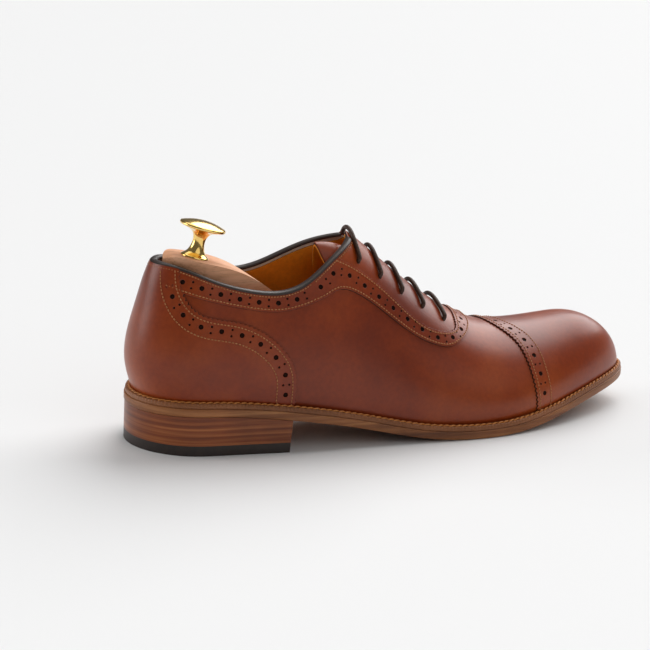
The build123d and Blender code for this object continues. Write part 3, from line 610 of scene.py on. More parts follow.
def leather(name, dark, mid, light, rough=0.36, coat=0.35, grain=0.06, tone=18.0, specular=0.5):
    material, nodes, link, shader, coords = started(name)
    coloured(nodes, link, shader,
             (noise(nodes, link, coords, tone, 3.0, 0.5), [(0.30, dark), (0.52, mid), (0.74, light)]),
             (noise(nodes, link, coords, 420, 3.0, 0.6),
              [(0.35, (0.90, 0.90, 0.90)), (0.65, (1.06, 1.06, 1.06))]))
    cells = nodes.new("ShaderNodeTexVoronoi")
    cells.inputs["Scale"].default_value = 1500
    link.new(coords, cells.inputs["Vector"])
    first = bump(nodes, link, cells.outputs["Distance"], grain, 0.0002)
    second = bump(nodes, link, noise(nodes, link, coords, 150, 4.0, 0.6), 0.10, 0.0004, first)
    link.new(second, shader.inputs["Normal"])
    shine = nodes.new("ShaderNodeMapRange")
    shine.inputs["To Min"].default_value = rough - 0.05
    shine.inputs["To Max"].default_value = rough + 0.07
    link.new(noise(nodes, link, coords, 60, 4.0, 0.6), shine.inputs["Value"])
    link.new(shine.outputs["Result"], shader.inputs["Roughness"])
    shader.inputs["Specular IOR Level"].default_value = specular
    shader.inputs["Coat Weight"].default_value = coat
    shader.inputs["Coat Roughness"].default_value = 0.28
    return material


def plain_rough(name, colour, other, rough, scale, metal=0.0, strength=0.05, stretch=None, specular=0.5):
    material, nodes, link, shader, coords = started(name)
    pattern = noise(nodes, link, coords, scale, 5.0, 0.6, stretch)
    tint = ramp(nodes, [(0.32, other), (0.66, colour)])
    link.new(pattern, tint.inputs["Fac"])
    link.new(tint.outputs["Color"], shader.inputs["Base Color"])
    link.new(bump(nodes, link, pattern, strength, 0.0003), shader.inputs["Normal"])
    shader.inputs["Roughness"].default_value = rough
    shader.inputs["Metallic"].default_value = metal
    shader.inputs["Specular IOR Level"].default_value = specular
    return material


def streaked(name, stops, rough, layer):
    """Stacked or edge-on leather: level streaks with a waxed finish."""
    material, nodes, link, shader, coords = started(name)
    coloured(nodes, link, shader, (noise(nodes, link, coords, 1.0, 6.0, 0.62, (9, 9, layer)), stops),
             (noise(nodes, link, coords, 34, 3.0, 0.5),
              [(0.35, (0.80, 0.78, 0.76)), (0.65, (1.12, 1.10, 1.06))]))
    thin = noise(nodes, link, coords, 1.0, 3.0, 0.6, (30, 30, 900))
    link.new(bump(nodes, link, thin, 0.12, 0.0002), shader.inputs["Normal"])
    shader.inputs["Roughness"].default_value = rough
    shader.inputs["Specular IOR Level"].default_value = 0.3
    shader.inputs["Coat Weight"].default_value = 0.08
    shader.inputs["Coat Roughness"].default_value = 0.3
    return material


def cedar():
    material, nodes, link, shader, coords = started("cedar")
    warp = nodes.new("ShaderNodeMapping")
    warp.inputs["Scale"].default_value = (7, 60, 95)
    warp.inputs["Rotation"].default_value = (0.25, 0.28, 0.04)
    link.new(coords, warp.inputs["Vector"])
    rings = noise(nodes, link, warp.outputs["Vector"], 1.0, 4.0, 0.5)
    pores = noise(nodes, link, coords, 1.0, 3.0, 0.6, (60, 900, 900))
    coloured(nodes, link, shader,
             (rings, [(0.30, (0.60, 0.28, 0.14)), (0.50, (0.78, 0.41, 0.24)), (0.72, (0.86, 0.52, 0.33))]),
             (pores, [(0.36, (0.82, 0.80, 0.78)), (0.50, (1, 1, 1))]))
    link.new(bump(nodes, link, pores, 0.12, 0.0002), shader.inputs["Normal"])
    shader.inputs["Roughness"].default_value = 0.62
    shader.inputs["Specular IOR Level"].default_value = 0.25
    return material


UPPER = leather("upper_calf", (0.16, 0.018, 0.0015), (0.24, 0.032, 0.003), (0.34, 0.060, 0.008),
                rough=0.34, coat=0.16, specular=0.30)
LINING = leather("lining_leather", (0.58, 0.16, 0.006), (0.72, 0.23, 0.012), (0.80, 0.31, 0.03),
                 rough=0.55, coat=0.0, grain=0.12, specular=0.25)
BINDING = leather("binding_leather", (0.020, 0.011, 0.008), (0.032, 0.018, 0.013), (0.050, 0.030, 0.023),
                  rough=0.42, coat=0.12, specular=0.35)
# painted shade: near-black material for the sheet that stands in for the shade inside the punched holes
HOLE_SHADE = leather("punched_hole_shade", (0.012, 0.004, 0.003), (0.020, 0.007, 0.004),
                    (0.030, 0.010, 0.006), rough=0.8, coat=0.0, specular=0.1)
# cut edges of the panels: dark brown, partly the real edge dye and partly painted shade for the shadow along
# the steps between layers
CUT_EDGE_DYE_AND_SHADE = leather("cut_edge_dye_and_shade", (0.030, 0.009, 0.003), (0.05, 0.014, 0.005), (0.075, 0.022, 0.008),
                   rough=0.6, coat=0.0, specular=0.2)
THREAD = plain_rough("upper_thread", (0.52, 0.23, 0.09), (0.32, 0.11, 0.035), 0.6, 900, specular=0.3)
WELT_THREAD = plain_rough("welt_thread", (0.62, 0.235, 0.045), (0.42, 0.13, 0.022), 0.5, 700)
LACE = plain_rough("waxed_lace", (0.075, 0.032, 0.016), (0.020, 0.008, 0.005), 0.48, 1300,
                   strength=0.2, specular=0.3)
WELT = leather("welt_leather", (0.16, 0.055, 0.018), (0.24, 0.085, 0.028), (0.32, 0.12, 0.045),
               rough=0.45, coat=0.1, specular=0.3)
SOLE = streaked("sole_edge", [(0.30, (0.10, 0.030, 0.009)), (0.50, (0.26, 0.090, 0.026)),
                              (0.70, (0.44, 0.19, 0.07))], 0.42, 260.0)
HEEL = streaked("heel_stack", [(0.28, (0.090, 0.020, 0.006)), (0.48, (0.22, 0.052, 0.013)),
                               (0.70, (0.40, 0.13, 0.038))], 0.34, 520.0)
RUBBER = plain_rough("top_lift_rubber", (0.030, 0.017, 0.012), (0.018, 0.010, 0.008), 0.42, 220)
CEDAR = cedar()
BRASS = plain_rough("polished_brass", (0.95, 0.66, 0.22), (0.86, 0.56, 0.16), 0.16, 90,
                    metal=1.0, strength=0.015)
STEEL = plain_rough("drawn_steel", (0.62, 0.60, 0.56), (0.45, 0.44, 0.42), 0.28, 300,
                    metal=1.0, stretch=(1, 8, 8))
BOARD = plain_rough("stiffener_board", (0.42, 0.30, 0.20), (0.33, 0.22, 0.14), 0.75, 300)
CLOTH = plain_rough("backing_cloth", (0.62, 0.58, 0.52), (0.50, 0.47, 0.42), 0.85, 700, strength=0.2)
CORK = plain_rough("cork", (0.42, 0.27, 0.16), (0.20, 0.11, 0.06), 0.85, 260, strength=0.3)

# ---- upper: outlines ----
TOE_END = 0.9990          # place along the front patch where its rim crosses the toe
mouth_m = np.linspace(-1, 1, 361)
mouth_v = rear_top(mouth_m)
mouth_line = np.stack([mouth_m, mouth_v], -1)

quarter_outline = np.vstack([run((-1, 0), (1, 0), 160)[:-1], run((1, 0), (1, mouth_v[-1]), 40)[:-1],
                             even(Rear, mouth_line[::-1], step=1.2)[:-1],
                             run((-1, mouth_v[0]), (-1, 0), 40)[:-1]])
quarter_part = panel_mesh(Rear, quarter_outline, (BODY, BODY_BACK), 2.2, butt=rear_seam)
panel("quarters", [quarter_part], UPPER, ("quarter_lateral", "quarter_medial"))

middle = {s: share_line(LYRE_MIDDLE, s, end=(LYRE_OUTER_END + LYRE_INNER_END) / 2) for s in (-1, 1)}
TOPLINE_AHEAD = 118       # the topline is drawn to here, past the lacing slot's rear end
tops = {s: front_top(s, TOPLINE_AHEAD) for s in (-1, 1)}


def top_until(side, line):
    """Topline from SPLIT to where it meets another line, and that line from there on."""
    i, j = crossing(tops[side], line)
    return tops[side][:i], line[j:]


top_l, mid_l = top_until(-1, middle[-1])
top_m, mid_m = top_until(1, middle[1])


def toe_outline(medial_m, lateral_m):
    """From the medial feather round the toe to the lateral feather."""
    a = even(Front, run((medial_m, 1), (TOE_END, 1), 400), step=1.6)
    b = even(Front, run((lateral_m, -1), (TOE_END, -1), 400), step=1.6)[::-1]
    return np.vstack([a, run((TOE_END, 1), (TOE_END, -1), 12)[1:-1], b])


vamp_outline = np.vstack([
    toe_outline(0, 0)[:-1],
    even(Front, run((0, -1), tuple(top_l[0]), 60), step=2.0)[:-1],
    even(Front, top_l, step=1.5)[:-1],
    even(Front, np.vstack([mid_l, mid_m[::-1][1:]]), step=1.5),
    even(Front, top_m[::-1], step=1.5)[1:],
    even(Front, run(tuple(top_m[0]), (0, 1), 60), step=2.0)[1:-1]])
vamp_part = panel_mesh(Front, vamp_outline, (BODY, BODY_BACK), 2.0, butt=front_seam)
panel("vamp_leather", [vamp_part], UPPER, ("vamp",))

# toe cap
cap_q = smooth_line([(Front.of(x, 0.5, 1)[0], n) for n, x in CAP_LINE], 500)
cap_q[:, 1] = np.clip(cap_q[:, 1], -1, 1)
cap_edge = gimped(Front, even(Front, cap_q, step=0.6), 2.55, 0.95)
cap_edge[:, 1] = np.clip(cap_edge[:, 1], -1, 1)
cap_edge[0, 1], cap_edge[-1, 1] = -1, 1
cap_outline = np.vstack([cap_edge, toe_outline(cap_edge[-1, 0], cap_edge[0, 0])[1:-1]])


def band_holes(skin, line, spacing, phase=0.5, pair=1.65):
    """Big holes evenly along a line, and a pair of small ones across it between two big ones."""
    length = np.linalg.norm(np.diff(skin.at(line), axis=0), axis=1).sum()
    count = max(1, int(round(length / spacing)))
    fine = even(skin, line, count=count * 2 * 12 + 1)
    at = (np.arange(count * 2) + phase) * 12
    at = np.round(at[at < len(fine)]).astype(int)
    return big_and_small(skin, fine[at[::2]], fine[at[1::2]], line, pair)


def big_and_small(skin, bigs, betweens, line, pair=1.65):
    t = tangents(skin.at(even(skin, line, step=0.5)))
    dense = even(skin, line, step=0.5)
    holes = [(q, BIG_HOLE) for q in bigs]
    for q in betweens:
        i = np.linalg.norm(skin.at(dense) - skin.at(q), axis=1).argmin()
        _, _, _, raw = frame_at(skin, q)
        side = np.cross(raw, t[i])
        holes += [(move(skin, q, side * pair), SMALL_HOLE), (move(skin, q, -side * pair), SMALL_HOLE)]
    return holes


cap_mid = even(Front, offset(Front, even(Front, cap_q, step=1.0), -CAP_BAND), step=0.5)[14:-14]
cap_holes = band_holes(Front, cap_mid, HOLE_PITCH, 0.4)
cap_part = panel_mesh(Front, cap_outline, (OVERLAY, OVERLAY_BACK), 1.6, holes=cap_holes, butt=front_seam)
panel("cap_leather", [cap_part], UPPER, ("toe_cap",))

# lyre and topline strap, in a front part and two rear parts
inner_u = u_line(LYRE_INNER, LYRE_INNER_END)
strap_edge = smooth_line(STRAP_EDGE, 400).tolist()
strap_front = {s: side_view(s, [p for p in strap_edge if p[0] >= SPLIT], Front) for s in (-1, 1)}
for s in (-1, 1):
    strap_front[s][0, 0] = 0.0


def outer_side(side):
    """Strap's lower edge from SPLIT on, bending softly into the lyre's outer edge."""
    lyre = LYRE_JOINT + LYRE_OUTER[1:]
    return np.vstack([strap_front[side][[0, 60, 120]], points_on(Front, lyre, side)])


outer_end = Front.of(LYRE_OUTER_END, 1.0, 1)[None]
outer_line = smooth_line(np.vstack([outer_side(-1), outer_end, outer_side(1)[::-1]]), 900)
half = len(inner_u) // 2
i_l, j_l = crossing(tops[-1], inner_u[:half])
i_m, j_m = crossing(tops[1], inner_u[half:][::-1])
inner_from = {-1: i_l, 1: i_m}
inner_line = inner_u[j_l:len(inner_u) - j_m]
inner_gimp = gimped(Front, inner_line, 2.2, -0.7)
lyre_outline = np.vstack([
    even(Front, outer_line, step=0.9)[:-1],
    even(Front, run(tuple(outer_line[-1]), tuple(tops[1][0]), 40), step=1.0)[:-1],
    even(Front, tops[1][:i_m], step=1.0)[:-1],
    inner_gimp[::-1],
    even(Front, tops[-1][:i_l][::-1], step=1.0)[1:],
    even(Front, run(tuple(tops[-1][0]), tuple(outer_line[0]), 40), step=1.0)[1:-1]])


def strap_middle(side, stations):
    """Side-view line half-way between the topline and the strap's lower edge."""
    top, low = smooth_line(TOPLINE[side], 600), smooth_line(STRAP_EDGE, 600)
    return [(x, (np.interp(x, *top.T) - PANEL_DROP + np.interp(x, *low.T)) / 2) for x in stations]


def band_line(side):
    """Middle of the strap from SPLIT on, then the middle of the lyre."""
    lyre = [p for p in LYRE_MIDDLE if p[0] > 105]
    return np.vstack([side_view(side, strap_middle(side, (92, 99)), Front),
                      points_on(Front, lyre, side)])


ridge_point = Front.of((LYRE_OUTER_END + LYRE_INNER_END) / 2, 1.0, 1)[None]
lyre_band = smooth_line(np.vstack([band_line(-1), ridge_point, band_line(1)[::-1]]), 800)
lyre_holes = band_holes(Front, lyre_band, HOLE_PITCH)
strap_holes = {}
for s in (-1, 1):
    strap_holes[s] = band_holes(Rear, side_view(s, strap_middle(s, STRAP_STATIONS), Rear), HOLE_PITCH)
lyre_part = panel_mesh(Front, lyre_outline, (OVERLAY, OVERLAY_BACK), 1.5, holes=lyre_holes,
                       butt=lambda q: q[:, 0] < 1e-6)
strap_parts = [lyre_part]
strap_low = {}
for s in (-1, 1):
    low = side_view(s, [p for p in strap_edge if STRAP_START <= p[0] <= SPLIT], Rear)
    near_split = [p for p in smooth_line(STRAP_EDGE, 800).tolist() if abs(p[0] - SPLIT) < 0.2]
    low[-1] = s, side_view(s, near_split, Rear)[0, 1]
    strap_low[s] = low
    start = abs(low[0, 0])
    ring = mouth_line[np.abs(mouth_m) >= start]
    ring = ring[np.sign(ring[:, 0]) == s]
    ring = ring[np.argsort(-np.abs(ring[:, 0]))]
    outline = np.vstack([even(Rear, low, step=0.9)[:-1], run(tuple(low[-1]), tuple(ring[0]), 10)[:-1],
                         even(Rear, ring, step=1.0)[:-1], run(tuple(ring[-1]), tuple(low[0]), 10)[:-1]])
    strap_parts.append(panel_mesh(Rear, outline, (OVERLAY, OVERLAY_BACK), 1.5, holes=strap_holes[s],
                                  butt=lambda p: np.abs(p[:, 0]) > 0.99999))
panel("lyre_and_topline_strap", strap_parts, UPPER,
      ("lyre_strap", "topline_strap_lateral", "topline_strap_medial"))

# counter
counter_lines, counter_edges = {}, {}
for s in (-1, 1):
    line = side_view(s, COUNTER_EDGE, Rear)
    i, j = crossing(line, mouth_line)
    line = line[:i]
    line[0, 1] = 0
    counter_lines[s] = line
    counter_edges[s] = gimped(Rear, line, 2.45, 0.85 * -s)
    counter_edges[s][0, 1] = 0
inside = np.abs(mouth_m) <= abs(counter_edges[-1][-1, 0]) - 0.004
counter_outline = np.vstack([
    run((counter_edges[-1][0, 0], 0), (counter_edges[1][0, 0], 0), 120)[1:-1],
    counter_edges[1], even(Rear, mouth_line[inside][::-1], step=1.0), counter_edges[-1][::-1]])
counter_holes = []
for s in (-1, 1):
    band = offset(Rear, even(Rear, counter_lines[s], step=1.0), s * COUNTER_BAND)
    counter_holes += band_holes(Rear, band[4:-5], HOLE_PITCH)
counter_part = panel_mesh(Rear, counter_outline, (COUNTER, OVERLAY_BACK), 1.6, holes=counter_holes,
                          butt=lambda q: q[:, 1] < 1e-6)
panel("counter_leather", [counter_part], UPPER, ("counter",))

# facings
slot_edges = {s: slot_edge(s, SLOT_START) for s in (-1, 1)}
slot_meets = {s: crossing(tops[s], slot_edges[s]) for s in (-1, 1)}
close = Front.of(SLOT_CLOSE, 1.0, 1)[0]
for s, name in ((-1, "facing_lateral"), (1, "facing_medial")):
    i, j = slot_meets[s]
    start, meet = crossing(tops[s], middle[s])
    end_line = middle[s][meet:]
    beside = s * RIDGE_GAP
    outline = np.vstack([even(Front, tops[s][start:i], step=1.0)[:-1],
                         even(Front, slot_edges[s][j:], step=1.0)[:-1],
                         run(tuple(slot_edges[s][-1]), (close, beside), 5)[1:],
                         run((close, beside), (end_line[-2, 0], beside), 8)[1:],
                         even(Front, end_line[:-1][::-1], step=1.5)])
    holes = [(Front.of(x, v, s), EYELET_R) for x, v in EYELETS]
    part = panel_mesh(Front, outline, (BODY, BODY_BACK), 1.5, holes=holes)
    panel(name + "_leather", [part], UPPER, (name,))

# painted shade: a near-black sheet under the punched holes stands in for the shade inside them
hole_shade_v, hole_shade_f, total = [], [], 0
HOLE_SHADE_DROP, HOLE_SHADE_RIM, HOLE_SHADE_THICK = 0.62, 0.12, 0.25
sides = 14
for skin, holes, surface in ((Front, cap_holes + lyre_holes, OVERLAY), (Rear, counter_holes, COUNTER),
                             (Rear, strap_holes[-1] + strap_holes[1], OVERLAY)):
    for centre, radius in holes:
        ring = circle(skin, centre, radius + HOLE_SHADE_RIM, sides)
        hole_shade_v += [skin.at(np.vstack([ring, centre[None]]), surface + HOLE_SHADE_DROP),
                      skin.at(ring, surface + HOLE_SHADE_DROP + HOLE_SHADE_THICK)]
        under = total + sides + 1
        around = [(i, (i + 1) % sides) for i in range(sides)]
        hole_shade_f += [(total + i, total + j, total + sides) for i, j in around]
        hole_shade_f += [(total + i, under + i, under + j, total + j) for i, j in around]
        hole_shade_f.append(tuple(under + i for i in range(sides)))
        total = under + sides
new_object("punched_hole_shade", np.vstack(hole_shade_v), hole_shade_f, HOLE_SHADE)

# linings
lining_rear = panel_mesh(Rear, quarter_outline, LINING_LAYER, 3.0, butt=rear_seam)
lining_outline = np.vstack([
    toe_outline(0, 0)[:-1],
    even(Front, run((0, -1), tuple(tops[-1][0]), 60), step=2.5)[:-1],
    even(Front, tops[-1][:slot_meets[-1][0]], step=2.0)[:-1],
    even(Front, slot_edges[-1][slot_meets[-1][1]:], step=2.0),
    even(Front, slot_edges[1][slot_meets[1][1]:][::-1], step=2.0)[:-1],
    even(Front, tops[1][:slot_meets[1][0]][::-1], step=2.0)[:-1],
    even(Front, run(tuple(tops[1][0]), (0, 1), 60), step=2.5)[:-1]])
lining_front = panel_mesh(Front, lining_outline, LINING_LAYER, 3.0, butt=front_seam,
                          holes=[(Front.of(x, v, s), EYELET_R) for x, v in EYELETS for s in (-1, 1)])
panel("lining", [lining_rear, lining_front], LINING, ("quarter_lining", "vamp_lining"))

# ---- tongue ----
def tongue_place(x, y):
    x, y = np.asarray(x, float), np.asarray(y, float)
    ridge, low, high, _, _ = arch(x, np.full(x.shape, TONGUE_DEPTH))
    reach = np.where(y > ridge, high - ridge, ridge - low)
    spread = np.clip(np.abs(y - ridge) / reach / TONGUE_SPREAD, 0, 1)
    n = np.sign(y - ridge) * 2 / math.pi * np.arcsin(spread)
    return np.stack([(x - TONGUE_START) / TONGUE_LENGTH, n], -1)


# the free end is one round tab
TAB_STATION, TAB_LOW, TAB_HIGH, TAB_TIP = 112.0, -14.0, 17.0, 0.006
sides_x = np.linspace(134, TAB_STATION, 12)
low_side = tongue_place(sides_x, np.full(12, TAB_LOW))
high_side = tongue_place(sides_x[::-1], np.full(12, TAB_HIGH))
tab_turn = np.linspace(0, math.pi, 40)[1:-1]
tab_middle = (low_side[-1, 1] + high_side[0, 1]) / 2
tab_half = (high_side[0, 1] - low_side[-1, 1]) / 2
tab_root = low_side[-1, 0]
round_tab = np.stack([tab_root - (tab_root - TAB_TIP) * np.sin(tab_turn) ** 0.7,
                      tab_middle - tab_half * np.cos(tab_turn)], -1)
TONGUE_FULL, TONGUE_RIM = 0.36, 0.995    # full width from this place on; its rims
tongue_outline = np.vstack([low_side, round_tab, high_side,
                            run((TONGUE_FULL, TONGUE_RIM), (TONGUE_RIM, TONGUE_RIM), 50),
                            run((TONGUE_RIM, TONGUE_RIM), (TONGUE_RIM, -TONGUE_RIM), 30)[1:-1],
                            run((TONGUE_RIM, -TONGUE_RIM), (TONGUE_FULL, -TONGUE_RIM), 50)])
panel("tongue_leather", [panel_mesh(Tongue, tongue_outline, TONGUE_LAYER, 2.0, bevel=0.4)], UPPER,
      ("tongue",))
panel("tongue_back", [panel_mesh(Tongue, tongue_outline, TONGUE_BACK_LAYER, 2.0, bevel=0.3)], LINING,
      ("tongue_lining",))


# ---- topline binding ----
def skin_over(rings, ends):
    """Skin over rings of points, whose ends are capped, open, or joined to each other."""
    count, size = len(rings), len(rings[0])
    faces = [(i * size + k, i * size + (k + 1) % size, j * size + (k + 1) % size, j * size + k)
             for i, j in zip(range(count), [*range(1, count), 0]) for k in range(size)]
    if ends != "joined":
        faces = faces[:-size]
    if ends == "capped":
        faces += [tuple(range(size))[::-1], tuple((count - 1) * size + k for k in range(size))]
    return np.vstack(rings), faces


def station_line():
    """Stations, sides and heights of the topline, from one end of the lace opening round to the other."""
    rows = []
    for s in (-1, 1):
        line = front_top(s, TOPLINE_AHEAD, 0.0)
        line = line[:crossing(line, slot_edges[s])[0]]
        p = Front.at(even(Front, line, step=0.8))
        block = np.stack([p[:, 0], np.full(len(p), s), p[:, 2]], -1)
        rows.append(block[::-1] if s < 0 else block)
    q = even(Rear, np.stack([mouth_m, rear_top(mouth_m, 0.0)], -1), step=0.8)
    x = FEATHER_INSET + (SPLIT - FEATHER_INSET) * (1 - np.cos(q[:, 0] * math.pi / 2))
    z = Rear.at(q)[:, 2]
    return np.vstack([rows[0], np.stack([x, np.where(q[:, 0] > 0, 1, -1), z], -1)[1:-1], rows[1]])


BIND_PROFILE = [(0.9, 1.6), (-0.7, 1.5), (-0.95, 1.2), (-0.85, 0.6), (-0.45, 0.15), (0.4, -0.1),
                (1.6, -0.15), (2.8, -0.05), (3.7, 0.3), (4.15, 0.9), (4.2, 1.7), (3.4, 2.0)]
stations = station_line()
sections = []
for depth, drop in BIND_PROFILE:
    x = np.maximum(stations[:, 0], FEATHER_INSET + max(depth, 0) + 0.001)
    crest = arch(x, np.full(len(x), depth))[3]
    v = (stations[:, 2] - drop - feather_z(x)) / crest
    sections.append(last_point(x, np.clip(v, 0, 1), stations[:, 1], depth))
sections = np.stack(sections, 1)
v, f = skin_over(list(sections), "capped")
binding = new_object("binding_strip", v, f, BINDING)
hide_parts("topline_binding")

# ---- stitches on the upper ----
CAP_PITCH, BAND_PITCH, TOP_PITCH = 1.75, 1.85, 1.6       # thread by thread
rows = []


def sew(skin, line, distance, surface, pitch):
    rows.append((skin, offset(skin, even(skin, line, step=1.0), distance), surface, pitch))


sew(Front, cap_q, -1.7, OVERLAY, CAP_PITCH)
sew(Front, cap_q, -10.2, OVERLAY, CAP_PITCH)
sew(Front, outer_line, 1.1, OVERLAY, BAND_PITCH)
sew(Front, inner_line, -1.6, OVERLAY, BAND_PITCH)
for s in (-1, 1):
    sew(Rear, strap_low[s], s * 1.1, OVERLAY, BAND_PITCH)
    sew(Rear, counter_lines[s], s * 2.1, COUNTER, BAND_PITCH)
    sew(Rear, counter_lines[s], s * 10.4, COUNTER, BAND_PITCH)
    over_lyre = tops[s][:inner_from[s]]
    over_facing = tops[s][inner_from[s]:slot_meets[s][0]]
    sew(Front, over_lyre, s * 1.4, OVERLAY, TOP_PITCH)
    sew(Front, over_facing, s * 1.4, BODY, TOP_PITCH)
sew(Rear, mouth_line, -1.4, OVERLAY, TOP_PITCH)
v, f = stitch_mesh(rows)
new_object("upper_stitches", v, f, THREAD)


# ---- sole ----
def even_angles(count):
    fine = 4000
    p = ring_at(np.linspace(0, 2 * math.pi, fine, endpoint=False), 0.0, 0.0)
    t = np.concatenate(([0], np.cumsum(np.linalg.norm(np.roll(p, -1, 0) - p, axis=1))))
    s = np.linspace(0, t[-1], count, endpoint=False)
    return np.interp(s, t, np.linspace(0, 2 * math.pi, fine + 1)), t[-1]


def ring_at(theta, inset, height):
    """Points round the plan outline, inset from the sole's edge, height above its underside."""
    inset = np.broadcast_to(np.asarray(inset, float), theta.shape)
    x = inset + (LENGTH - 2 * inset) * (1 - np.cos(theta)) / 2
    side = np.where(theta <= math.pi, -1.0, 1.0)
    y = spline(CENTRE_Y, x / LENGTH) + side * half_width(x, side, inset)
    return np.stack([x, y, sole_z(x) + height], -1)


# (inset, height) round the edge of the outsole, from above it to below
SOLE_PROFILE = [(7.0, 4.5), (0.45, 4.5), (0.12, 4.3), (0.0, 3.9), (0.0, 2.4), (0.0, 0.9), (0.14, 0.45),
                (0.5, 0.12), (1.1, 0.0)]
theta, _ = even_angles(900)
sole_rings = [ring_at(theta, i, h) for i, h in SOLE_PROFILE]
base, base_inset = sole_rings[-1], SOLE_PROFILE[-1][0]
x_mid = base_inset + (LENGTH - 2 * base_inset) * (1 - np.cos(theta)) / 2
spine = np.stack([x_mid, spline(CENTRE_Y, x_mid / LENGTH), sole_z(x_mid)], -1)
for share in (0.1, 0.25, 0.45, 0.7, 0.97):
    sole_rings.append(base * (1 - share) + spine * share)
v, f = skin_over(sole_rings, "open")
f = [face[::-1] for face in f]
outsole = new_object("sole_edge", v, f, SOLE)
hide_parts("outsole")

# (inset, height, how far a rib's notch goes in, and down) round the welt
WELT_PROFILE = [(9.0, 4.6, 0, 0), (0.75, 4.6, 0, 0), (0.6, 4.9, .05, 0), (0.55, 5.8, .16, 0),
                (0.62, 6.6, .38, .1), (0.85, 7.1, .35, .34), (1.25, 7.28, 0, .34), (1.75, 7.25, 0, .1),
                (2.0, 7.0, 0, 0), (2.5, 6.85, 0, 0), (3.1, 6.9, 0, 0), (3.5, 7.15, 0, 0),
                (4.3, 7.25, 0, 0), (9.0, 7.0, 0, 0)]
RIB_PITCH = 2.05
theta, perimeter = even_angles(1800)
ribs = int(perimeter / RIB_PITCH)
wave = np.abs(np.sin(np.arange(len(theta)) * math.pi * ribs / len(theta)))
notch = (1 - wave ** 0.6)
welt_rings = [ring_at(theta, i + notch * a, h - notch * b) for i, h, a, b in WELT_PROFILE]
v, f = skin_over(welt_rings, "joined")
welt = new_object("welt_strip", v, [face[::-1] for face in f], WELT)
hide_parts("welt")


def rope_stitches(count, inset, height):
    """Fat slanted stitches laid over each other like rope, all round the welt."""
    fine, _ = even_angles(count)
    p = ring_at(fine, inset, height)
    t = np.roll(p, -1, 0) - np.roll(p, 1, 0)
    t /= np.linalg.norm(t, axis=1, keepdims=True)
    up = np.array([0.0, 0.0, 1.0]) - t * t[:, 2:3]
    up /= np.linalg.norm(up, axis=1, keepdims=True)
    across = np.cross(up, t)
    verts = []
    stops = [(-.62, .25, -.45), (-.45, .75, -.1), (-.2, 1.0, .22), (.1, 1.0, .30), (.38, .8, .12),
             (.6, .3, -.40)]
    sides = 8
    for s, r, z in stops:
        for k in range(sides):
            a = 2 * math.pi * k / sides
            verts.append(p + t * (s * 4.3) + across * (s * 1.15 + 0.66 * r * math.cos(a))
                         + up * (z + 0.50 * r * math.sin(a)))
    return np.vstack(verts), np.vstack(thread_faces(np.arange(count), len(stops), sides)).tolist()


ROPE_PITCH, ROPE_INSET, ROPE_HEIGHT = 3.7, 2.55, 7.25
v, f = rope_stitches(int(perimeter / ROPE_PITCH), ROPE_INSET, ROPE_HEIGHT)
new_object("welt_stitches", v, f, WELT_THREAD)


# ---- lace ----
def eyelet_frame(x, v, side):
    here = last_point(x, v, side)
    along = last_point(x + 1, v, side) - last_point(x - 1, v, side)
    across = last_point(x, v + 0.02, side) - last_point(x, v - 0.02, side)
    out = np.cross(along, across)
    out /= np.linalg.norm(out)
    return here, out if out[2] > 0 else -out


LACE_R, LACE_UNDER = 1.22, 4.9          # depth of the lace's hidden runs
LACE_ENDS = ((131, .60, -1), (164, .60, 1))


def lace_points():
    points = [last_point(*LACE_ENDS[0], LACE_UNDER)]
    for row, (x, v) in enumerate(EYELETS):
        sides = (-1, 1) if row % 2 == 0 else (1, -1)
        for side, order in zip(sides, (1, -1)):
            here, out = eyelet_frame(x, v, side)
            over = last_point(x, share_of(np.array(x), 0.22), side, -1.5)
            ridge = last_point(x, share_of(np.array(x), 0.08), side, -1.7)
            toward = over - here
            toward /= np.linalg.norm(toward)
            bar = [here - out * LACE_UNDER, here - out * 1.6 - toward * 0.3,
                   here + out * 0.9 + toward * 0.35,
                   here + out * 1.45 + toward * 2.6, over, ridge]
            points += bar[::order]
    points.append(last_point(*LACE_ENDS[1], LACE_UNDER))
    return np.array(points)


def quadratic(points, per_span):
    """Smooth line that touches the middle of every run between points."""
    mids = (points[1:] + points[:-1]) / 2
    t = np.linspace(0, 1, per_span, endpoint=False)[:, None]
    out = [points[0] + (mids[0] - points[0]) * t]
    for a, b, c in zip(mids, points[1:-1], mids[1:]):
        out.append((1 - t) ** 2 * a + 2 * t * (1 - t) * b + t ** 2 * c)
    out.append(mids[-1] + (points[-1] - mids[-1]) * np.linspace(0, 1, per_span)[:, None])
    return np.vstack(out)


def tube(line, radius, sides=20, braid=0.12, pitch=2.4):
    """Round cord with two crossing sets of strands raised on it."""
    t = np.concatenate(([0], np.cumsum(np.linalg.norm(np.diff(line, axis=0), axis=1))))
    count = int(t[-1] / 0.28)
    s = np.linspace(0, t[-1], count)
    p = np.stack([np.interp(s, t, line[:, k]) for k in range(3)], -1)
    tangent = tangents(p)
    side = np.cross(tangent[0], [0.0, 0, 1])
    side /= np.linalg.norm(side)
    sections = []
    angle = np.arange(sides) * 2 * math.pi / sides
    for i in range(count):
        side = side - tangent[i] * side.dot(tangent[i])
        side /= np.linalg.norm(side)
        other = np.cross(tangent[i], side)
        twist = 2 * math.pi * s[i] / (pitch * 4)
        a = np.abs(np.sin(2 * (angle + twist))) ** 0.7
        b = np.abs(np.sin(2 * (angle - twist))) ** 0.7
        r = radius * (1 - braid + braid * np.maximum(a, b))
        sections.append(p[i] + r[:, None] * (np.cos(angle)[:, None] * side + np.sin(angle)[:, None] * other))
    return skin_over(sections, "capped")


v, f = tube(quadratic(lace_points(), 12), LACE_R)
lace = new_object("lace_braid", v, f, LACE)
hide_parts("lace")

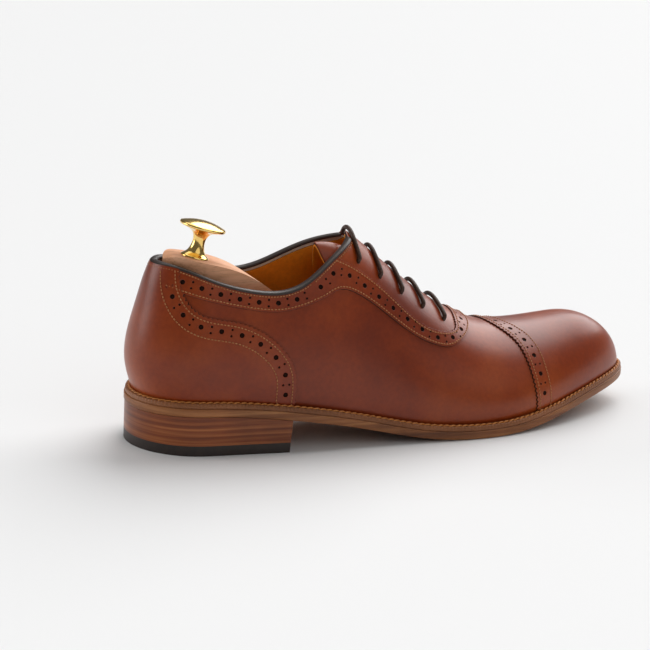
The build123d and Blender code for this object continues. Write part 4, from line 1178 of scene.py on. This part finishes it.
# ---- shoe tree knob ----
KNOB_FOOT, KNOB_TILT = np.array([34.0, 1.0, 98.5]), math.radians(14)
KNOB_STEM = [(7.5, 1.0), (5.4, 2.6), (3.7, 6.0), (3.3, 9.5), (4.6, 13.2), (8.4, 15.2), (12.0, 16.3)]
KNOB_RIM = [(12.0, 16.3), (12.3, 17.1), (11.8, 17.9)]
KNOB_DOME = [(11.8, 17.9), (8.0, 19.15), (4.0, 19.95), (0.0, 20.2)]
KNOB = [(0, 0), (7.3, 0), (7.5, 0.2), *smooth_line(KNOB_STEM, 22).tolist(),
        *smooth_line(KNOB_RIM, 6)[1:].tolist(), *smooth_line(KNOB_DOME, 10)[1:].tolist()]
axis = np.array([math.sin(KNOB_TILT), 0, math.cos(KNOB_TILT)])
e1 = np.array([math.cos(KNOB_TILT), 0, -math.sin(KNOB_TILT)])
e2 = np.array([0.0, 1, 0])
sides = 96
turn = np.arange(sides) * 2 * math.pi / sides
verts = [KNOB_FOOT + axis * KNOB[0][1]]
faces = []
for r, z in KNOB[1:-1]:
    verts += list(KNOB_FOOT + axis * z + r * (np.cos(turn)[:, None] * e1 + np.sin(turn)[:, None] * e2))
verts.append(KNOB_FOOT + axis * KNOB[-1][1])
faces += [(0, 1 + (k + 1) % sides, 1 + k) for k in range(sides)]
for i in range(len(KNOB) - 3):
    lower, upper = 1 + i * sides, 1 + (i + 1) * sides
    faces += [(lower + k, lower + (k + 1) % sides, upper + (k + 1) % sides, upper + k) for k in range(sides)]
last_ring = 1 + (len(KNOB) - 3) * sides
faces += [(last_ring + k, last_ring + (k + 1) % sides, last_ring + sides) for k in range(sides)]
knob = new_object("turned_knob", verts, faces, BRASS)
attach(knob, "tree_heel")
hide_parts("tree_knob")

# ---- CAD nodes that stay ----
NODE_LOOKS = ((STEEL, "shank heel_nails tree_tube tree_rod knob_stud"), (CORK, "cork_filler"),
              (LINING, "insole sock_liner"), (RUBBER, "heel_top_lift"),
              (HEEL, "heel_lift_1 heel_lift_2 heel_lift_3 heel_seat_lift"), (BOARD, "heel_counter toe_puff"),
              (CLOTH, "quarter_backing vamp_backing"),
              (CEDAR, "tree_pins tree_core tree_heel_block tree_toe_lateral tree_toe_medial"))
for look, names in NODE_LOOKS:
    for name in names.split():
        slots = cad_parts[name].data.materials
        slots.clear()
        slots.append(look)

# ---- stage, light, camera ----
floor_mesh = bpy.data.meshes.new("floor")
floor_mesh.from_pydata([(-9, -9, 0), (9, -9, 0), (9, 9, 0), (-9, 9, 0)], [], [(0, 1, 2, 3)])
floor = bpy.data.objects.new("floor", floor_mesh)
bpy.context.collection.objects.link(floor)
floor_look = bpy.data.materials.new("floor_white")
_, _, shader = links(floor_look)
shader.inputs["Base Color"].default_value = (0.80, 0.80, 0.80, 1)
shader.inputs["Roughness"].default_value = 0.7
shader.inputs["Specular IOR Level"].default_value = 0.2
floor_mesh.materials.append(floor_look)

WORLD = 0.14
world = bpy.data.worlds.new("studio")
bpy.context.scene.world = world
world.use_nodes = True
background = world.node_tree.nodes["Background"]
background.inputs["Color"].default_value = (1, 1, 1, 1)
background.inputs["Strength"].default_value = WORLD


def softbox(name, azimuth, elevation, angle, strength):
    """Far, wide light: azimuth from +X towards +Y, in degrees."""
    data = bpy.data.lights.new(name, "SUN")
    data.angle = math.radians(angle)
    data.energy = strength
    light = bpy.data.objects.new(name, data)
    bpy.context.collection.objects.link(light)
    a, e = math.radians(azimuth), math.radians(elevation)
    toward = Vector((math.cos(a) * math.cos(e), math.sin(a) * math.cos(e), math.sin(e)))
    light.rotation_euler = toward.to_track_quat("Z", "Y").to_euler()


softbox("softbox_over", 80, 72, 60, 0.95)
softbox("softbox_ahead", 34, 41, 56, 2.65)
softbox("softbox_left", 152, 16, 30, 0.85)
softbox("front_fill", -70, 40, 50, 0.42)

AZ, EL, ROLL = (math.radians(a) for a in (-25.4685, 15.5198, 3.35))
AIM, DISTANCE = Vector((-0.002, -0.003, 0.050)), 1.20794
SENSOR_MM, LENS_MM = 36, 121.986277
CAMERA_SHIFT = (-0.10296923, 0.013523077)     # in shares of the frame
back = Vector((math.sin(AZ) * math.cos(EL), -math.cos(AZ) * math.cos(EL), math.sin(EL)))
right = Vector((math.cos(AZ), math.sin(AZ), 0))
up = back.cross(right)
right_rolled = math.cos(ROLL) * right + math.sin(ROLL) * up
up_rolled = math.cos(ROLL) * up - math.sin(ROLL) * right
camera_data = bpy.data.cameras.new("camera")
camera = bpy.data.objects.new("camera", camera_data)
bpy.context.collection.objects.link(camera)
rotation = Matrix((right_rolled, up_rolled, back)).transposed().to_4x4()
camera.matrix_world = Matrix.Translation(AIM + DISTANCE * back) @ rotation
camera_data.sensor_width = SENSOR_MM
camera_data.lens = LENS_MM
camera_data.shift_x, camera_data.shift_y = CAMERA_SHIFT
camera_data.clip_end = 50
bpy.context.scene.camera = camera
bpy.context.scene.view_settings.view_transform = "Standard"
